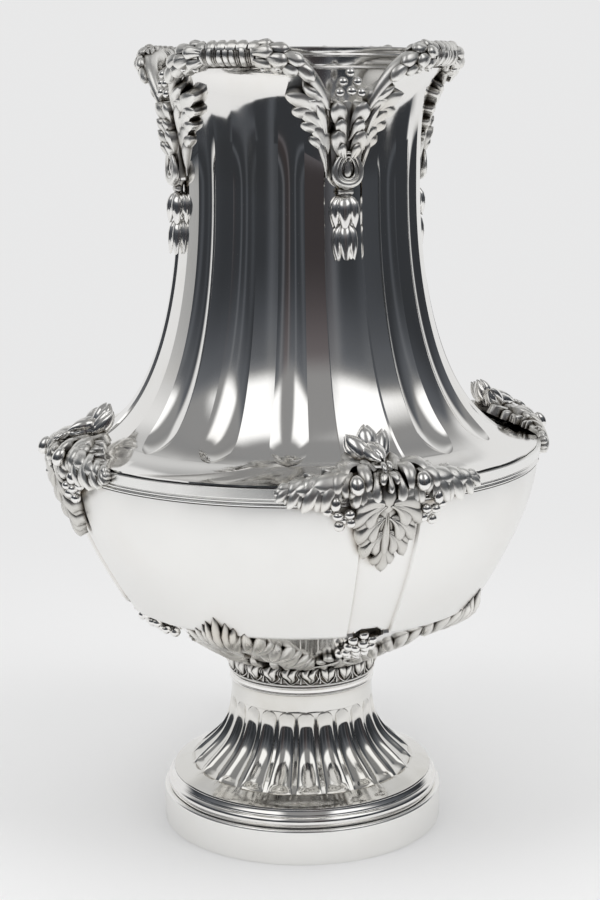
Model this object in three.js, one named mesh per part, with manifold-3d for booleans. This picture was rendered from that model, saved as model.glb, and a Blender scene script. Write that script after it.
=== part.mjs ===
// Silver flower vase: a pear-shaped body with a fluted, four-lobed neck on a fluted foot.
// Cast acanthus mounts stand on four axes, and a plain liner lifts out of the mouth.
// Units are millimetres, +Z is up, and the origin lies on the axis where the foot stands.
import * as THREE from 'three';
import { mergeVertices } from 'three/addons/utils/BufferGeometryUtils.js';
import Module from 'manifold-3d';

const wasm = await Module();
wasm.setup();

// Sheet, seams and casting clearances.
const wall = 1;
const seam = 0.3;
const castingGap = 0.45;
const castingEdge = 1.1;
const quarters = 4;

// Plinth band of the foot.
const footRadius = 72.4;
const plinthHeight = 18;
const plinthWall = 2.2;
const plinthEdge = 1.3;

// Moulding between the plinth and the fluted stem.
const mouldingInset = 2.7;
const mouldingHeight = 8.2;
const mouldingBulge = 0.8;
const mouldingStep = 2.6;
const mouldingWall = 2;

// Fluted stem of the foot.
const stemFootRadius = 57.2;
const stemNeckRadius = 36.4;
const stemHeight = 43.8;
const ledgeRise = 4;
const stemLean = new THREE.Vector2(9.6, 11.7);
const stemRun = 31.6;
const stemFlutes = 24;
const stemFluteDepth = 1.9;
const stemFluteEnd = 0.905;

// Collar and water-leaf band between the foot and the bowl.
const collarOverhang = 1.1;
const collarHeight = 4.6;
const collarBore = 30;
const leafBandHeight = 10.4;
const leafBandFlare = 1.4;
const leafBandRelief = 1.3;
const leafBandLeaves = 24;

// Bowl: a hollow under-belly, four plain panels and four sunk strips.
const creaseRadius = 92.4;
const underBellyHeight = 31.3;
const underBellySag = 1.6;
const creaseStep = 0.9;
const bellyRadius = 119.9;
const bellyHeight = 69.6;
const bellyLean = new THREE.Vector2(8.5, 14.7);
const bellyRun = 25.5;
const bellyStripAngle = 6.6;
const bellyStripDepth = 1.6;
const bellyStripEdge = 0.9;

// Girdle band round the widest place.
const girdleOverhang = 1.6;
const girdleHeight = 8.7;
const girdleBand = 4.4;
const girdleBead = 0.9;

// Shoulder and neck, one raised sheet with three flutes in each lobe.
const shoulderInset = 0.3;
const shoulderEdge = 0.8;
const shoulderFlange = 4.8;
const neckRadius = 60.2;
const neckRise = 128.4;
const shoulderRun = 43.6;
const neckRun = 60;
const neckFlutesPerLobe = 3;
const neckFluteSpacing = 21.5;
const neckFluteHalf = 5.8;
const neckFluteDepth = 1.9;
const neckFluteStart = 0.2;
const neckStripAngle = 8.6;
const neckStripEdge = 0.8;
const neckStripDepth = 0.9;

// Four-lobed mouth and its rounded border.
const mouthRise = 60;
const lobeReach = 13.8;
const lobeDrop = 24;
const lobeTuck = 7.5;
const lobeEndAngle = 36.5;
const lobePower = 4;
const borderRadius = 6;
const borderEndRadius = 2.1;
const borderSeatAngle = 25;
const notchRise = 2;
const flareRun = 13.5;
const flareAngle = 33.6;
const straightAngle = 82;

// Pendant on each axis, measured along the neck from the bottom of the notch.
const pendantChevron = 23;
const pendantLoop = 17;
const pendantRing = 4.5;
const pendantHusk = 15;
const pendantHalf = 8.2;
const pendantBulge = 7.6;
const pendantBerry = 2.3;
const pendantBunchHalf = 6.9;
const sideLeafLength = 36;
const sideLeafHalf = 5.4;
const sideLeafRise = 3;

// Mount on each axis that bridges the girdle.
const mountBridge = 0.9;
const mountLeafLength = 47;
const mountLeafHalf = 14.5;
const mountLeafRise = 8.2;
const mountWingLength = 50;
const mountWingHalf = 8.5;
const mountWingRise = 5;
const mountLeafRoot = 5.2;
const mountBerry = 3;
const mountBunchHalf = 6.6;
const mountBudLength = 38;
const mountBudHalf = 4.6;
const mountBudRise = 7.6;

// Mounts round the bottom of the bowl.
const baseLeafRoot = 5;
const baseLeafLength = 63;
const baseLeafHalf = 22;
const baseLeafRise = 4.4;
const baseBerry = 2.5;
const baseBunchHalf = 6.5;
const sprigReach = 24;
const sprigCross = 3;
const sprigRoot = 8;
const sprigClimb = 16;
const sprigHalf = 4.6;
const sprigRise = 2.6;

// Liner and the ring that carries it.
const linerClearance = 0.8;
const linerHeight = 161;
const linerWall = 0.8;
const linerBeadHeight = 2.6;
const linerCorner = 5;
const linerRimRise = 3.5;
const linerMoulding = 10.2;
const linerFlare = 2.6;
const seatHeight = 4.5;
const seatRise = 30;
const seatBearing = 1.8;

// Levels of the seams, from the foot up.
const mouldingBottom = plinthHeight + seam;
const mouldingTop = mouldingBottom + mouldingHeight;
const stemBottom = mouldingTop + seam;
const stemSpring = stemBottom + ledgeRise;
const stemTop = stemSpring + stemHeight;
const collarBottom = stemTop + seam;
const collarTop = collarBottom + collarHeight;
const leafBandBottom = collarTop + seam;
const leafBandTop = leafBandBottom + leafBandHeight;
const bowlBottom = leafBandTop + seam;
const creaseHeight = bowlBottom + underBellyHeight;
const bowlTop = creaseHeight + bellyHeight;
const girdleBottom = bowlTop + seam;
const girdleTop = girdleBottom + girdleHeight;
const neckBottom = girdleTop + seam;
const waistHeight = neckBottom + shoulderEdge + neckRise;
const borderHeight = waistHeight + mouthRise;
const quarterTurn = 360 / quarters;
const halfLobe = quarterTurn / 2;
const girdleRadius = bellyRadius + girdleOverhang;
const collarRadius = stemNeckRadius + collarOverhang;
const leafBandRadius = stemNeckRadius + leafBandFlare;

const silver = { color: 0xd8d8d4, metalness: 1, roughness: 0.16 };
const satinSilver = { color: 0xe6e5e1, metalness: 1, roughness: 0.34 };
const castSilver = { color: 0xc9c6bf, metalness: 1, roughness: 0.3 };

const vase = new THREE.Group();

function addPiece(name, geometry, finish) {
  const mesh = new THREE.Mesh(geometry, new THREE.MeshStandardMaterial(finish));
  mesh.name = name;
  vase.add(mesh);
}

function radians(degrees) {
  return THREE.MathUtils.degToRad(degrees);
}

// The angle is measured from the front axis, -Y, and grows towards +X.
function onAxis(radius, angle, height) {
  return new THREE.Vector3(radius * Math.sin(angle), -radius * Math.cos(angle), height);
}

// A geometry from point rows, each joined to the next and to itself as a closed ring.
function stitchRings(rings, closed) {
  const positions = [];
  const indices = [];
  const count = rings[0].length;
  for (const ring of rings) {
    for (const point of ring) {
      positions.push(point.x, point.y, point.z);
    }
  }
  const spans = closed ? rings.length : rings.length - 1;
  for (let i = 0; i < spans; i += 1) {
    const next = (i + 1) % rings.length;
    for (let j = 0; j < count; j += 1) {
      const side = (j + 1) % count;
      const a = i * count + j;
      const b = i * count + side;
      const c = next * count + side;
      const d = next * count + j;
      indices.push(a, b, c, a, c, d);
    }
  }
  if (!closed) {
    const first = positions.length / 3;
    for (const ring of [rings[0], rings[rings.length - 1]]) {
      const middle = new THREE.Vector3();
      ring.forEach((point) => middle.add(point));
      middle.divideScalar(count);
      positions.push(middle.x, middle.y, middle.z);
    }
    const last = (rings.length - 1) * count;
    for (let j = 0; j < count; j += 1) {
      const side = (j + 1) % count;
      indices.push(first, side, j);
      indices.push(first + 1, last + j, last + side);
    }
  }
  return cleanGeometry(positions, indices);
}

// Merges shared points, drops collapsed faces and turns every face outward.
function cleanGeometry(positions, indices) {
  const raw = new THREE.BufferGeometry();
  raw.setAttribute('position', new THREE.Float32BufferAttribute(positions, 3));
  raw.setIndex(indices);
  const merged = mergeVertices(raw, 1e-4);
  const index = merged.index.array;
  const kept = [];
  for (let i = 0; i < index.length; i += 3) {
    const [a, b, c] = [index[i], index[i + 1], index[i + 2]];
    if (a !== b && b !== c && c !== a) {
      kept.push(a, b, c);
    }
  }
  if (signedVolume(merged.attributes.position, kept) < 0) {
    kept.reverse();
  }
  merged.setIndex(kept);
  return merged;
}

function signedVolume(position, index) {
  const [a, b, c] = [new THREE.Vector3(), new THREE.Vector3(), new THREE.Vector3()];
  let total = 0;
  for (let i = 0; i < index.length; i += 3) {
    a.fromBufferAttribute(position, index[i]);
    b.fromBufferAttribute(position, index[i + 1]);
    c.fromBufferAttribute(position, index[i + 2]);
    total += a.dot(b.cross(c)) / 6;
  }
  return total;
}

function toSolid(geometry) {
  const vertProperties = new Float32Array(geometry.attributes.position.array);
  const triVerts = new Uint32Array(geometry.index.array);
  return new wasm.Manifold(new wasm.Mesh({ numProp: 3, vertProperties, triVerts }));
}

// Joins the parts of one casting into a single closed body.
function joinCasting(geometries) {
  let joined = toSolid(geometries[0]);
  for (const geometry of geometries.slice(1)) {
    joined = joined.add(toSolid(geometry));
  }
  const mesh = joined.getMesh();
  return cleanGeometry(Array.from(mesh.vertProperties), Array.from(mesh.triVerts));
}

// A body of revolution whose profile may change with the angle.
function turn(angles, profileAt) {
  const rings = angles.map((degrees) => {
    const angle = radians(degrees);
    return profileAt(degrees).map((point) => onAxis(point.x, angle, point.y));
  });
  return stitchRings(rings, true);
}

function evenAngles(count) {
  return Array.from({ length: count }, (unused, i) => (i * 360) / count);
}

function point(radius, height) {
  return new THREE.Vector2(radius, height);
}

function smooth(edgeLow, edgeHigh, value) {
  return THREE.MathUtils.smoothstep(value, edgeLow, edgeHigh);
}

// Distance in degrees from the nearest lobe centre, 0 to half a lobe.
function fromLobe(degrees) {
  const turned = THREE.MathUtils.euclideanModulo(degrees, quarterTurn);
  return Math.abs(turned - halfLobe);
}

// Distance in degrees from the nearest mount axis.
function fromMount(degrees) {
  return halfLobe - fromLobe(degrees);
}

// A point that lies behind a profile curve by the given depth.
function behind(curve, t, depth) {
  const at = curve.getPoint(t);
  const along = curve.getTangent(t);
  return point(at.x - along.y * depth, at.y + along.x * depth);
}

// Plinth: a plain band with softened upper edge.
const plainColumns = 36;
const smallColumns = 24;
const plinthAngles = evenAngles(plainColumns);

function plinthProfile() {
  const inner = footRadius - plinthWall;
  return [
    point(footRadius, 0),
    point(footRadius, plinthHeight - plinthEdge),
    point(footRadius - plinthEdge, plinthHeight),
    point(inner - mouldingInset, plinthHeight),
    point(inner, plinthHeight - plinthWall - mouldingInset),
    point(inner, 0),
  ];
}

addPiece('foot_plinth', turn(plinthAngles, plinthProfile), satinSilver);

// Moulding: a round bead, a hollow and a step under the ledge of the stem.
const ledgeRadius = footRadius - mouldingInset - mouldingStep;

function mouldingProfile() {
  const radius = footRadius - mouldingInset;
  const bead = mouldingHeight * 0.55;
  return [
    point(radius, mouldingBottom),
    point(radius + mouldingBulge, mouldingBottom + bead * 0.4),
    point(radius, mouldingBottom + bead),
    point(radius - mouldingStep * 0.6, mouldingBottom + bead + mouldingStep * 0.3),
    point(ledgeRadius, mouldingTop),
    point(ledgeRadius - mouldingWall, mouldingTop),
    point(ledgeRadius - mouldingWall, mouldingBottom),
  ];
}

addPiece('foot_moulding', turn(plinthAngles, mouldingProfile), silver);

// Stem: a hollow trumpet with round-topped flutes that end square on the ledge.
const stemCurve = new THREE.CubicBezierCurve(
  point(stemFootRadius, stemSpring),
  point(stemFootRadius - stemLean.x, stemSpring + stemLean.y),
  point(stemNeckRadius, stemTop - stemRun),
  point(stemNeckRadius, stemTop),
);
const stemRows = [0, 0.18, 0.42, 0.7, stemFluteEnd, 1];
const stemInnerRows = [1, 0.5, 0];
const columnsPerStemFlute = 3;

function stemAngles() {
  const angles = [];
  const pitch = 360 / stemFlutes;
  for (let flute = 0; flute < stemFlutes; flute += 1) {
    for (let column = 0; column < columnsPerStemFlute; column += 1) {
      angles.push((flute - 0.5 + column / columnsPerStemFlute) * pitch);
    }
  }
  return angles;
}

// Depth of a stem flute across its width and along its length.
function stemFluteDepthAt(degrees, t) {
  const pitch = 360 / stemFlutes;
  const across = THREE.MathUtils.euclideanModulo(degrees / pitch + 0.5, 1);
  const hollow = Math.sin(Math.PI * across);
  const foot = 0.35 + 0.65 * smooth(0, 0.16, t);
  const head = 1 - smooth(stemFluteEnd - 0.13, stemFluteEnd, t);
  return stemFluteDepth * hollow * foot * head;
}

function stemProfile(degrees) {
  const ledge = [point(ledgeRadius, stemBottom)];
  const outer = stemRows.map((t) => behind(stemCurve, t, stemFluteDepthAt(degrees, t)));
  const inner = stemInnerRows.map((t) => behind(stemCurve, t, stemFluteDepth + wall));
  const rim = point(ledgeRadius - wall * 2, stemBottom);
  outer.forEach((at) => at.setY(Math.min(at.y, stemTop)));
  inner[0].setY(stemTop);
  inner[inner.length - 1].setY(stemBottom + wall);
  return [...ledge, ...outer, ...inner, rim];
}

addPiece('foot_stem', turn(stemAngles(), stemProfile), silver);

// Collar: a plain ring with two fine fillets.
function collarProfile() {
  const line = collarHeight * 0.2;
  const cut = collarOverhang * 0.4;
  return [
    point(collarRadius - cut, collarBottom),
    point(collarRadius, collarBottom + line),
    point(collarRadius - cut, collarBottom + line * 2.5),
    point(collarRadius, collarBottom + line * 4),
    point(collarRadius - cut, collarTop),
    point(collarBore, collarTop),
    point(collarBore, collarBottom),
  ];
}

addPiece('foot_collar', turn(evenAngles(smallColumns), collarProfile), silver);

// Water-leaf band: heart-shaped leaves that hang tip down.
function leafBandProfile(degrees) {
  const leaf = 0.5 + 0.5 * Math.cos(radians(degrees) * leafBandLeaves);
  const foot = stemNeckRadius - leafBandRelief * 0.3;
  const relief = leafBandRelief * leaf;
  return [
    point(foot, leafBandBottom),
    point(foot + relief * 0.9, leafBandBottom + leafBandHeight * 0.22),
    point(foot + 0.4 + relief, leafBandBottom + leafBandHeight * 0.6),
    point(leafBandRadius, leafBandTop),
    point(collarBore, leafBandTop),
    point(collarBore, leafBandBottom),
  ];
}

addPiece('leaf_tip_band', turn(evenAngles(leafBandLeaves * 2), leafBandProfile), castSilver);

// Bowl: the hollow under-belly runs from the leaf band to a crisp line, the belly rises above it.
const underCurve = new THREE.QuadraticBezierCurve(
  point(leafBandRadius, bowlBottom),
  point(
    (leafBandRadius + creaseRadius) / 2 - underBellySag,
    (bowlBottom + creaseHeight) / 2 + underBellySag,
  ),
  point(creaseRadius - creaseStep, creaseHeight),
);
const bellyCurve = new THREE.CubicBezierCurve(
  point(creaseRadius, creaseHeight + creaseStep),
  point(creaseRadius + bellyLean.x, creaseHeight + bellyLean.y),
  point(bellyRadius, bowlTop - bellyRun),
  point(bellyRadius, bowlTop),
);
const underRows = [0.02, 0.5, 1];
const bellyRows = [0, 0.25, 0.5, 0.75, 1];
const bellyInnerRows = [1, 0.75, 0.5, 0.25, 0];

// Angles at which the bowl has a corner: strip floors, panel edges and even steps over a panel.
function bowlAngles() {
  const angles = [];
  const panelSteps = 6;
  const panelStart = bellyStripAngle + bellyStripEdge;
  const panelSpan = quarterTurn - 2 * panelStart;
  for (let quarter = 0; quarter < quarters; quarter += 1) {
    const base = quarter * quarterTurn;
    angles.push(base, base + bellyStripAngle);
    for (let step = 0; step <= panelSteps; step += 1) {
      angles.push(base + panelStart + (panelSpan * step) / panelSteps);
    }
    angles.push(base + quarterTurn - bellyStripAngle);
  }
  return angles;
}

function bellyStripAt(degrees, t) {
  const inside = 1 - smooth(bellyStripAngle, bellyStripAngle + bellyStripEdge, fromMount(degrees));
  return bellyStripDepth * inside * (1 - smooth(0.9, 1, t));
}

function bowlProfile(degrees) {
  const under = underRows.map((t) => underCurve.getPoint(t));
  const belly = bellyRows.map((t) => behind(bellyCurve, t, bellyStripAt(degrees, t)));
  const inner = bellyInnerRows.map((t) => behind(bellyCurve, t, bellyStripAt(degrees, t) + wall));
  inner[0].setY(bowlTop);
  belly[belly.length - 1].setY(bowlTop);
  const floorRadius = leafBandRadius - wall * 2;
  const floor = bowlBottom + wall * 2;
  return [
    point(0, bowlBottom),
    point(floorRadius, bowlBottom),
    ...under,
    ...belly,
    ...inner,
    behind(underCurve, 0.5, wall),
    point(floorRadius, floor),
    point(0, floor),
  ];
}

addPiece('bowl', turn(bowlAngles(), bowlProfile), satinSilver);

// Girdle: a flat polished band over two fine beads.
function girdleProfile() {
  const bore = bellyRadius - wall * 1.5;
  const beads = girdleHeight - girdleBand;
  return [
    point(bellyRadius - girdleBead * 0.5, girdleBottom),
    point(bellyRadius + girdleBead * 0.6, girdleBottom + beads * 0.3),
    point(bellyRadius, girdleBottom + beads * 0.55),
    point(girdleRadius, girdleBottom + beads),
    point(girdleRadius, girdleTop),
    point(bore, girdleTop),
    point(bore, girdleBottom),
  ];
}

addPiece('girdle_band', turn(plinthAngles, girdleProfile), silver);

// Border of one lobe: its centre line, its thickness and where the sheet meets it.
function lobeShare(fromCentre) {
  return Math.min(Math.abs(fromCentre) / lobeEndAngle, 1);
}

function borderCentre(fromCentre) {
  const share = lobeShare(fromCentre) ** lobePower;
  return point(neckRadius + lobeReach - lobeTuck * share, borderHeight - lobeDrop * share);
}

function borderThickness(fromCentre) {
  const share = lobeShare(fromCentre) ** (lobePower * 0.6);
  return THREE.MathUtils.lerp(borderRadius, borderEndRadius, share);
}

function mouthEdge(fromCentre) {
  const share = lobeShare(fromCentre) ** lobePower;
  const seat = radians(THREE.MathUtils.lerp(borderSeatAngle, 90, share));
  const reach = borderThickness(fromCentre) * 1.08 + seam;
  const edge = borderCentre(fromCentre);
  edge.x -= Math.sin(seat) * reach;
  edge.y -= Math.cos(seat) * reach;
  edge.y += notchRise * smooth(lobeEndAngle, halfLobe, Math.abs(fromCentre));
  return edge;
}

// Neck: the shoulder sweeps up to the waist, and the mouth flares from there to the border.
const neckCurve = new THREE.CubicBezierCurve(
  point(bellyRadius - shoulderInset, neckBottom + shoulderEdge),
  point(bellyRadius - shoulderInset - shoulderRun, neckBottom + shoulderEdge),
  point(neckRadius, waistHeight - neckRun),
  point(neckRadius, waistHeight),
);

function mouthCurve(fromCentre) {
  const edge = mouthEdge(fromCentre);
  const share = lobeShare(fromCentre) ** lobePower;
  const lean = radians(THREE.MathUtils.lerp(flareAngle, straightAngle, share));
  return new THREE.CubicBezierCurve(
    point(neckRadius, waistHeight),
    point(neckRadius, waistHeight + flareRun * 0.6),
    point(edge.x - flareRun * Math.cos(lean), edge.y - flareRun * Math.sin(lean)),
    edge,
  );
}

const neckRows = [0, neckFluteStart * 0.6, neckFluteStart * 1.15, 0.36, 0.52, 0.72, 0.95];
const mouthRows = [0.5, 0.8, 1];
const mouthInnerRows = [1, 0.8, 0.5];
const neckInnerRows = [0.95, 0.72, 0.52, 0.36, 0.23, 0.12, 0.04];

function neckAngles() {
  const angles = [];
  const middle = (neckFlutesPerLobe - 1) / 2;
  const stripOuter = neckStripAngle + neckStripEdge;
  for (let quarter = 0; quarter < quarters; quarter += 1) {
    const base = quarter * quarterTurn;
    angles.push(base, base + neckStripAngle, base + stripOuter);
    for (let flute = 0; flute < neckFlutesPerLobe; flute += 1) {
      const centre = base + halfLobe + (flute - middle) * neckFluteSpacing;
      for (const side of [-1, -0.4, 0.4, 1]) {
        angles.push(centre + side * neckFluteHalf);
      }
    }
    angles.push(base + quarterTurn - stripOuter, base + quarterTurn - neckStripAngle);
  }
  return angles;
}

// How far the sheet is pressed in at an angle: flutes in the lobes, sunk strips on the axes.
function neckReliefAt(degrees, along) {
  const lobe = fromLobe(degrees);
  const nearest = Math.min(Math.round(lobe / neckFluteSpacing), (neckFlutesPerLobe - 1) / 2);
  const across = Math.abs(lobe - nearest * neckFluteSpacing) / neckFluteHalf;
  const hollow = Math.max(1 - across * across, 0);
  const start = smooth(neckFluteStart * 0.75, neckFluteStart * 1.2, along);
  const stripEdge = neckStripAngle + neckStripEdge;
  const strip = 1 - smooth(neckStripAngle, stripEdge, fromMount(degrees));
  return neckFluteDepth * hollow * start + neckStripDepth * strip * smooth(0.05, 0.15, along);
}

function neckPoint(degrees, t, depth) {
  const relief = neckReliefAt(degrees, t);
  return behind(neckCurve, t, relief + depth);
}

function mouthPoint(degrees, t, depth) {
  const fade = 1 - smooth(0.8, 1, t);
  const relief = neckReliefAt(degrees, 1) * fade;
  return behind(mouthCurve(fromLobe(degrees)), t, relief + depth);
}

function neckProfile(degrees) {
  const foot = point(bellyRadius - shoulderInset, neckBottom);
  const inner = neckInnerRows.map((t) => neckPoint(degrees, t, wall));
  inner[inner.length - 1].setY(Math.max(inner[inner.length - 1].y, neckBottom));
  return [
    foot,
    ...neckRows.map((t) => neckPoint(degrees, t, 0)),
    ...mouthRows.map((t) => mouthPoint(degrees, t, 0)),
    ...mouthInnerRows.map((t) => mouthPoint(degrees, t, wall)),
    ...inner,
    point(bellyRadius - shoulderInset - shoulderFlange, neckBottom),
  ];
}

addPiece('neck', turn(neckAngles(), neckProfile), silver);

// Border castings: a rounded roll wrapped in leaves, one on each lobe.
const borderSteps = 14;
const borderSides = 6;
const borderWrap = 0.07;

function borderGeometry(lobe) {
  const rings = [];
  for (let step = 0; step <= borderSteps; step += 1) {
    const along = (step / borderSteps) * 2 - 1;
    const at = borderFrame(lobe, along * lobeEndAngle);
    const wrap = 1 + (step % 2 === 0 ? -borderWrap : borderWrap);
    const radius = borderThickness(along * lobeEndAngle) * wrap;
    rings.push(circleAround(at, radius, borderSides));
  }
  return stitchRings(rings, false);
}

function borderFrame(lobe, fromCentre) {
  const centreAngle = halfLobe + lobe * quarterTurn;
  const place = (offset) => {
    const at = borderCentre(offset);
    return onAxis(at.x, radians(centreAngle + offset), at.y);
  };
  const step = 0.5;
  const origin = place(fromCentre);
  const along = place(fromCentre + step).sub(place(fromCentre - step)).normalize();
  const out = onAxis(1, radians(centreAngle + fromCentre), 0);
  out.addScaledVector(along, -out.dot(along)).normalize();
  return { origin, out, up: new THREE.Vector3().crossVectors(along, out) };
}

function circleAround(frame, radius, sides) {
  return Array.from({ length: sides }, (unused, i) => {
    const angle = (i / sides) * 2 * Math.PI;
    return frame.origin
      .clone()
      .addScaledVector(frame.out, radius * Math.cos(angle))
      .addScaledVector(frame.up, radius * Math.sin(angle));
  });
}

const lobeNames = ['front_right', 'back_right', 'back_left', 'front_left'];
lobeNames.forEach((name, lobe) => {
  addPiece(`mouth_border_${name}`, borderGeometry(lobe), castSilver);
});

// A skin lays flat ornament (across, along, height) on a curved surface of the vase.
// Across and along are in millimetres, and height stands off the surface.
function pathSkin(path, axisAngle) {
  const outward = Math.sign(path[path.length - 1].y - path[0].y);
  const lengths = [0];
  for (let i = 1; i < path.length; i += 1) {
    lengths.push(lengths[i - 1] + path[i].distanceTo(path[i - 1]));
  }
  return (across, along, height) => {
    let i = 0;
    while (i < path.length - 2 && lengths[i + 1] < along) {
      i += 1;
    }
    const share = (along - lengths[i]) / (lengths[i + 1] - lengths[i]);
    const at = path[i].clone().lerp(path[i + 1], share);
    const before = path[Math.max(i - 1, 0)];
    const after = path[Math.min(i + 2, path.length - 1)];
    const low = path[i + 1].clone().sub(before);
    const high = after.clone().sub(path[i]);
    const tangent = low.lerp(high, THREE.MathUtils.clamp(share, 0, 1)).normalize();
    const radius = at.x + outward * tangent.y * height;
    return onAxis(radius, axisAngle + across / at.x, at.y - outward * tangent.x * height);
  };
}

// A leaf laid on a skin: a spine, a lobed outline, a raised vein and a curled tip.
function leafGeometry(skin, leaf) {
  const steps = leaf.steps;
  const rings = [];
  for (let step = 0; step <= steps; step += 1) {
    const t = step / steps;
    const at = leaf.spine.getPoint(t);
    const along = leaf.spine.getTangent(t);
    const notch = step % 2 === 0 ? 1 - leaf.cut : 1;
    const half = Math.max(leaf.half * leafWidth(t, leaf.widest) * notch, leaf.half * 0.06);
    const lift = leaf.floor + leaf.curl * smooth(0.7, 1, t);
    const crown = lift + castingEdge + leaf.rise * Math.sin(Math.PI * Math.min(t * 0.9 + 0.14, 1));
    rings.push(leafSection(skin, at, along, half, lift, crown, leaf.spans));
  }
  return stitchRings(rings, false);
}

function leafWidth(t, widest) {
  const bent = t < widest ? (0.5 * t) / widest : 0.5 + (0.5 * (t - widest)) / (1 - widest);
  return Math.sin(Math.PI * THREE.MathUtils.lerp(0.08, 0.97, bent)) ** 0.75;
}

// A leaf's section: points under it, then back over its edges and its raised vein.
function leafSection(skin, at, along, half, lift, crown, spans) {
  const side = point(along.y, -along.x);
  const corner = (share, height) => {
    const place = at.clone().addScaledVector(side, half * share);
    return skin(place.x, place.y, height);
  };
  const edge = lift + castingEdge;
  const under = evenShares(spans).map((share) => corner(share, lift));
  const over = evenShares(Math.max(spans, 2)).map((share) => {
    return corner(share, THREE.MathUtils.lerp(crown, edge, share * share));
  });
  return [...under, ...over.reverse()];
}

function evenShares(spans) {
  return Array.from({ length: spans + 1 }, (unused, i) => (2 * i) / spans - 1);
}

function bend(...corners) {
  const points = corners.map(([across, along]) => point(across, along));
  return points.length === 3 ? new THREE.QuadraticBezierCurve(...points) : new THREE.LineCurve(...points);
}

// Pendants hang from the notch along the sunk strip of the neck.
const pendantSamples = 24;
const pendantTop = pendantBerry * 8;

function pendantPath() {
  const path = [];
  const mouth = mouthCurve(halfLobe);
  for (let i = 0; i <= pendantSamples; i += 1) {
    path.push(mouth.getPoint(1 - i / pendantSamples));
  }
  for (let i = 1; i <= pendantSamples; i += 1) {
    path.push(neckCurve.getPoint(1 - (0.45 * i) / pendantSamples));
  }
  const rise = path[0].clone().sub(path[1]).normalize();
  path.unshift(path[0].clone().addScaledVector(rise, pendantTop));
  return path;
}

// Stations down the drop: two chevron tiers, a loop, a double ring and two bell husks.
function pendantStations() {
  const loop = pendantChevron;
  const ring = loop + pendantLoop;
  const husk = ring + pendantRing;
  const low = husk + pendantHusk;
  return [
    [0, 0.6, 0.7],
    [pendantChevron * 0.48, 0.98, 1],
    [pendantChevron * 0.53, 0.72, 0.86],
    [pendantChevron, 1, 1.02],
    [loop + pendantLoop * 0.1, 0.8, 0.86],
    [loop + pendantLoop * 0.5, 0.84, 0.9],
    [ring, 0.42, 0.46],
    [ring + pendantRing * 0.3, 0.58, 0.58],
    [husk, 0.46, 0.5],
    [husk + pendantHusk * 0.55, 0.9, 0.84],
    [husk + pendantHusk * 0.95, 0.94, 0.5],
    [low + pendantHusk * 0.05, 0.4, 0.44],
    [low + pendantHusk * 0.55, 0.72, 0.62],
    [low + pendantHusk, 0.1, 0.2],
  ];
}

function pendantGeometry(axisAngle) {
  const skin = pathSkin(pendantPath(), axisAngle);
  const rings = pendantStations().map(([along, half, crown]) => {
    const corner = (share, height) => skin(pendantHalf * half * share, pendantTop + along, height);
    return [
      corner(-1, castingGap),
      corner(1, castingGap),
      corner(1, castingGap + castingEdge),
      corner(0, castingGap + pendantBulge * crown),
      corner(-1, castingGap + castingEdge),
    ];
  });
  const parts = [stitchRings(rings, false)];
  const bunchRoot = [0, pendantTop + pendantBerry];
  parts.push(bunchGeometry(skin, bunchRoot, [0, pendantBerry], pendantBerry, pendantBunchHalf));
  for (const side of [-1, 1]) {
    parts.push(sideLeafGeometry(axisAngle, side));
  }
  return joinCasting(parts);
}

// A bunch of berries: rows of rounded lumps that narrow from root to tip.
function bunchGeometry(skin, root, tip, berry, half) {
  return leafGeometry(skin, {
    spine: bend(root, tip),
    floor: castingGap,
    half,
    steps: 3,
    spans: 1,
    widest: 0.3,
    cut: 0.25,
    rise: berry * 1.8,
    curl: 0,
  });
}

// A side leaf climbs from the loop of a pendant over the flare of the lobe beside it.
function lobeSkin(axisAngle) {
  return (across, along, height) => {
    const angle = axisAngle + across / (neckRadius + wall);
    const curve = mouthCurve(fromLobe(THREE.MathUtils.radToDeg(angle)));
    const t = curve.getUtoTmapping(Math.min(along / curve.getLength(), 1));
    const at = behind(curve, t, -height);
    return onAxis(at.x, angle, at.y);
  };
}

function sideLeafGeometry(axisAngle, side) {
  const spine = bend(
    [side * pendantHalf * 0.7, mouthRise * 0.24],
    [side * pendantHalf * 1.7, mouthRise * 0.46],
    [side * (pendantHalf + sideLeafLength * 0.5), mouthRise * 0.66],
  );
  return leafGeometry(lobeSkin(axisAngle), {
    spine,
    half: sideLeafHalf,
    steps: 6,
    spans: 1,
    widest: 0.6,
    cut: 0.24,
    rise: sideLeafRise,
    floor: castingGap * 2,
    curl: sideLeafRise * 0.5,
  });
}

const mountNames = ['front', 'right', 'back', 'left'];
mountNames.forEach((name, mount) => {
  addPiece(`pendant_${name}`, pendantGeometry(radians(mount * quarterTurn)), castSilver);
});

// Shoulder mounts bridge the girdle: a hanging leaf, two wings, two bunches and three buds.
const mountSamples = 16;

function mountPath() {
  const path = [];
  const standOff = girdleRadius + mountBridge;
  for (let i = mountSamples; i >= 2; i -= 1) {
    path.push(neckCurve.getPoint((0.42 * i) / mountSamples));
  }
  path.push(point(standOff - mountBridge * 2, neckBottom + shoulderEdge + mountBridge));
  path.push(point(standOff, girdleTop));
  path.push(point(standOff, girdleBottom));
  for (let i = 1; i <= mountSamples; i += 1) {
    path.push(bellyCurve.getPoint(1 - (0.06 + (0.74 * i) / mountSamples)));
  }
  return path;
}

// The mount's own skin starts at the upper edge of the girdle and runs down the panel strip.
function mountSkin(axisAngle) {
  const path = mountPath();
  const corner = path.findIndex((at) => at.y === girdleTop);
  let lead = 0;
  for (let i = 1; i <= corner; i += 1) {
    lead += path[i].distanceTo(path[i - 1]);
  }
  const skin = pathSkin(path, axisAngle);
  return (across, along, height) => skin(across, along + lead, height);
}

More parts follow.
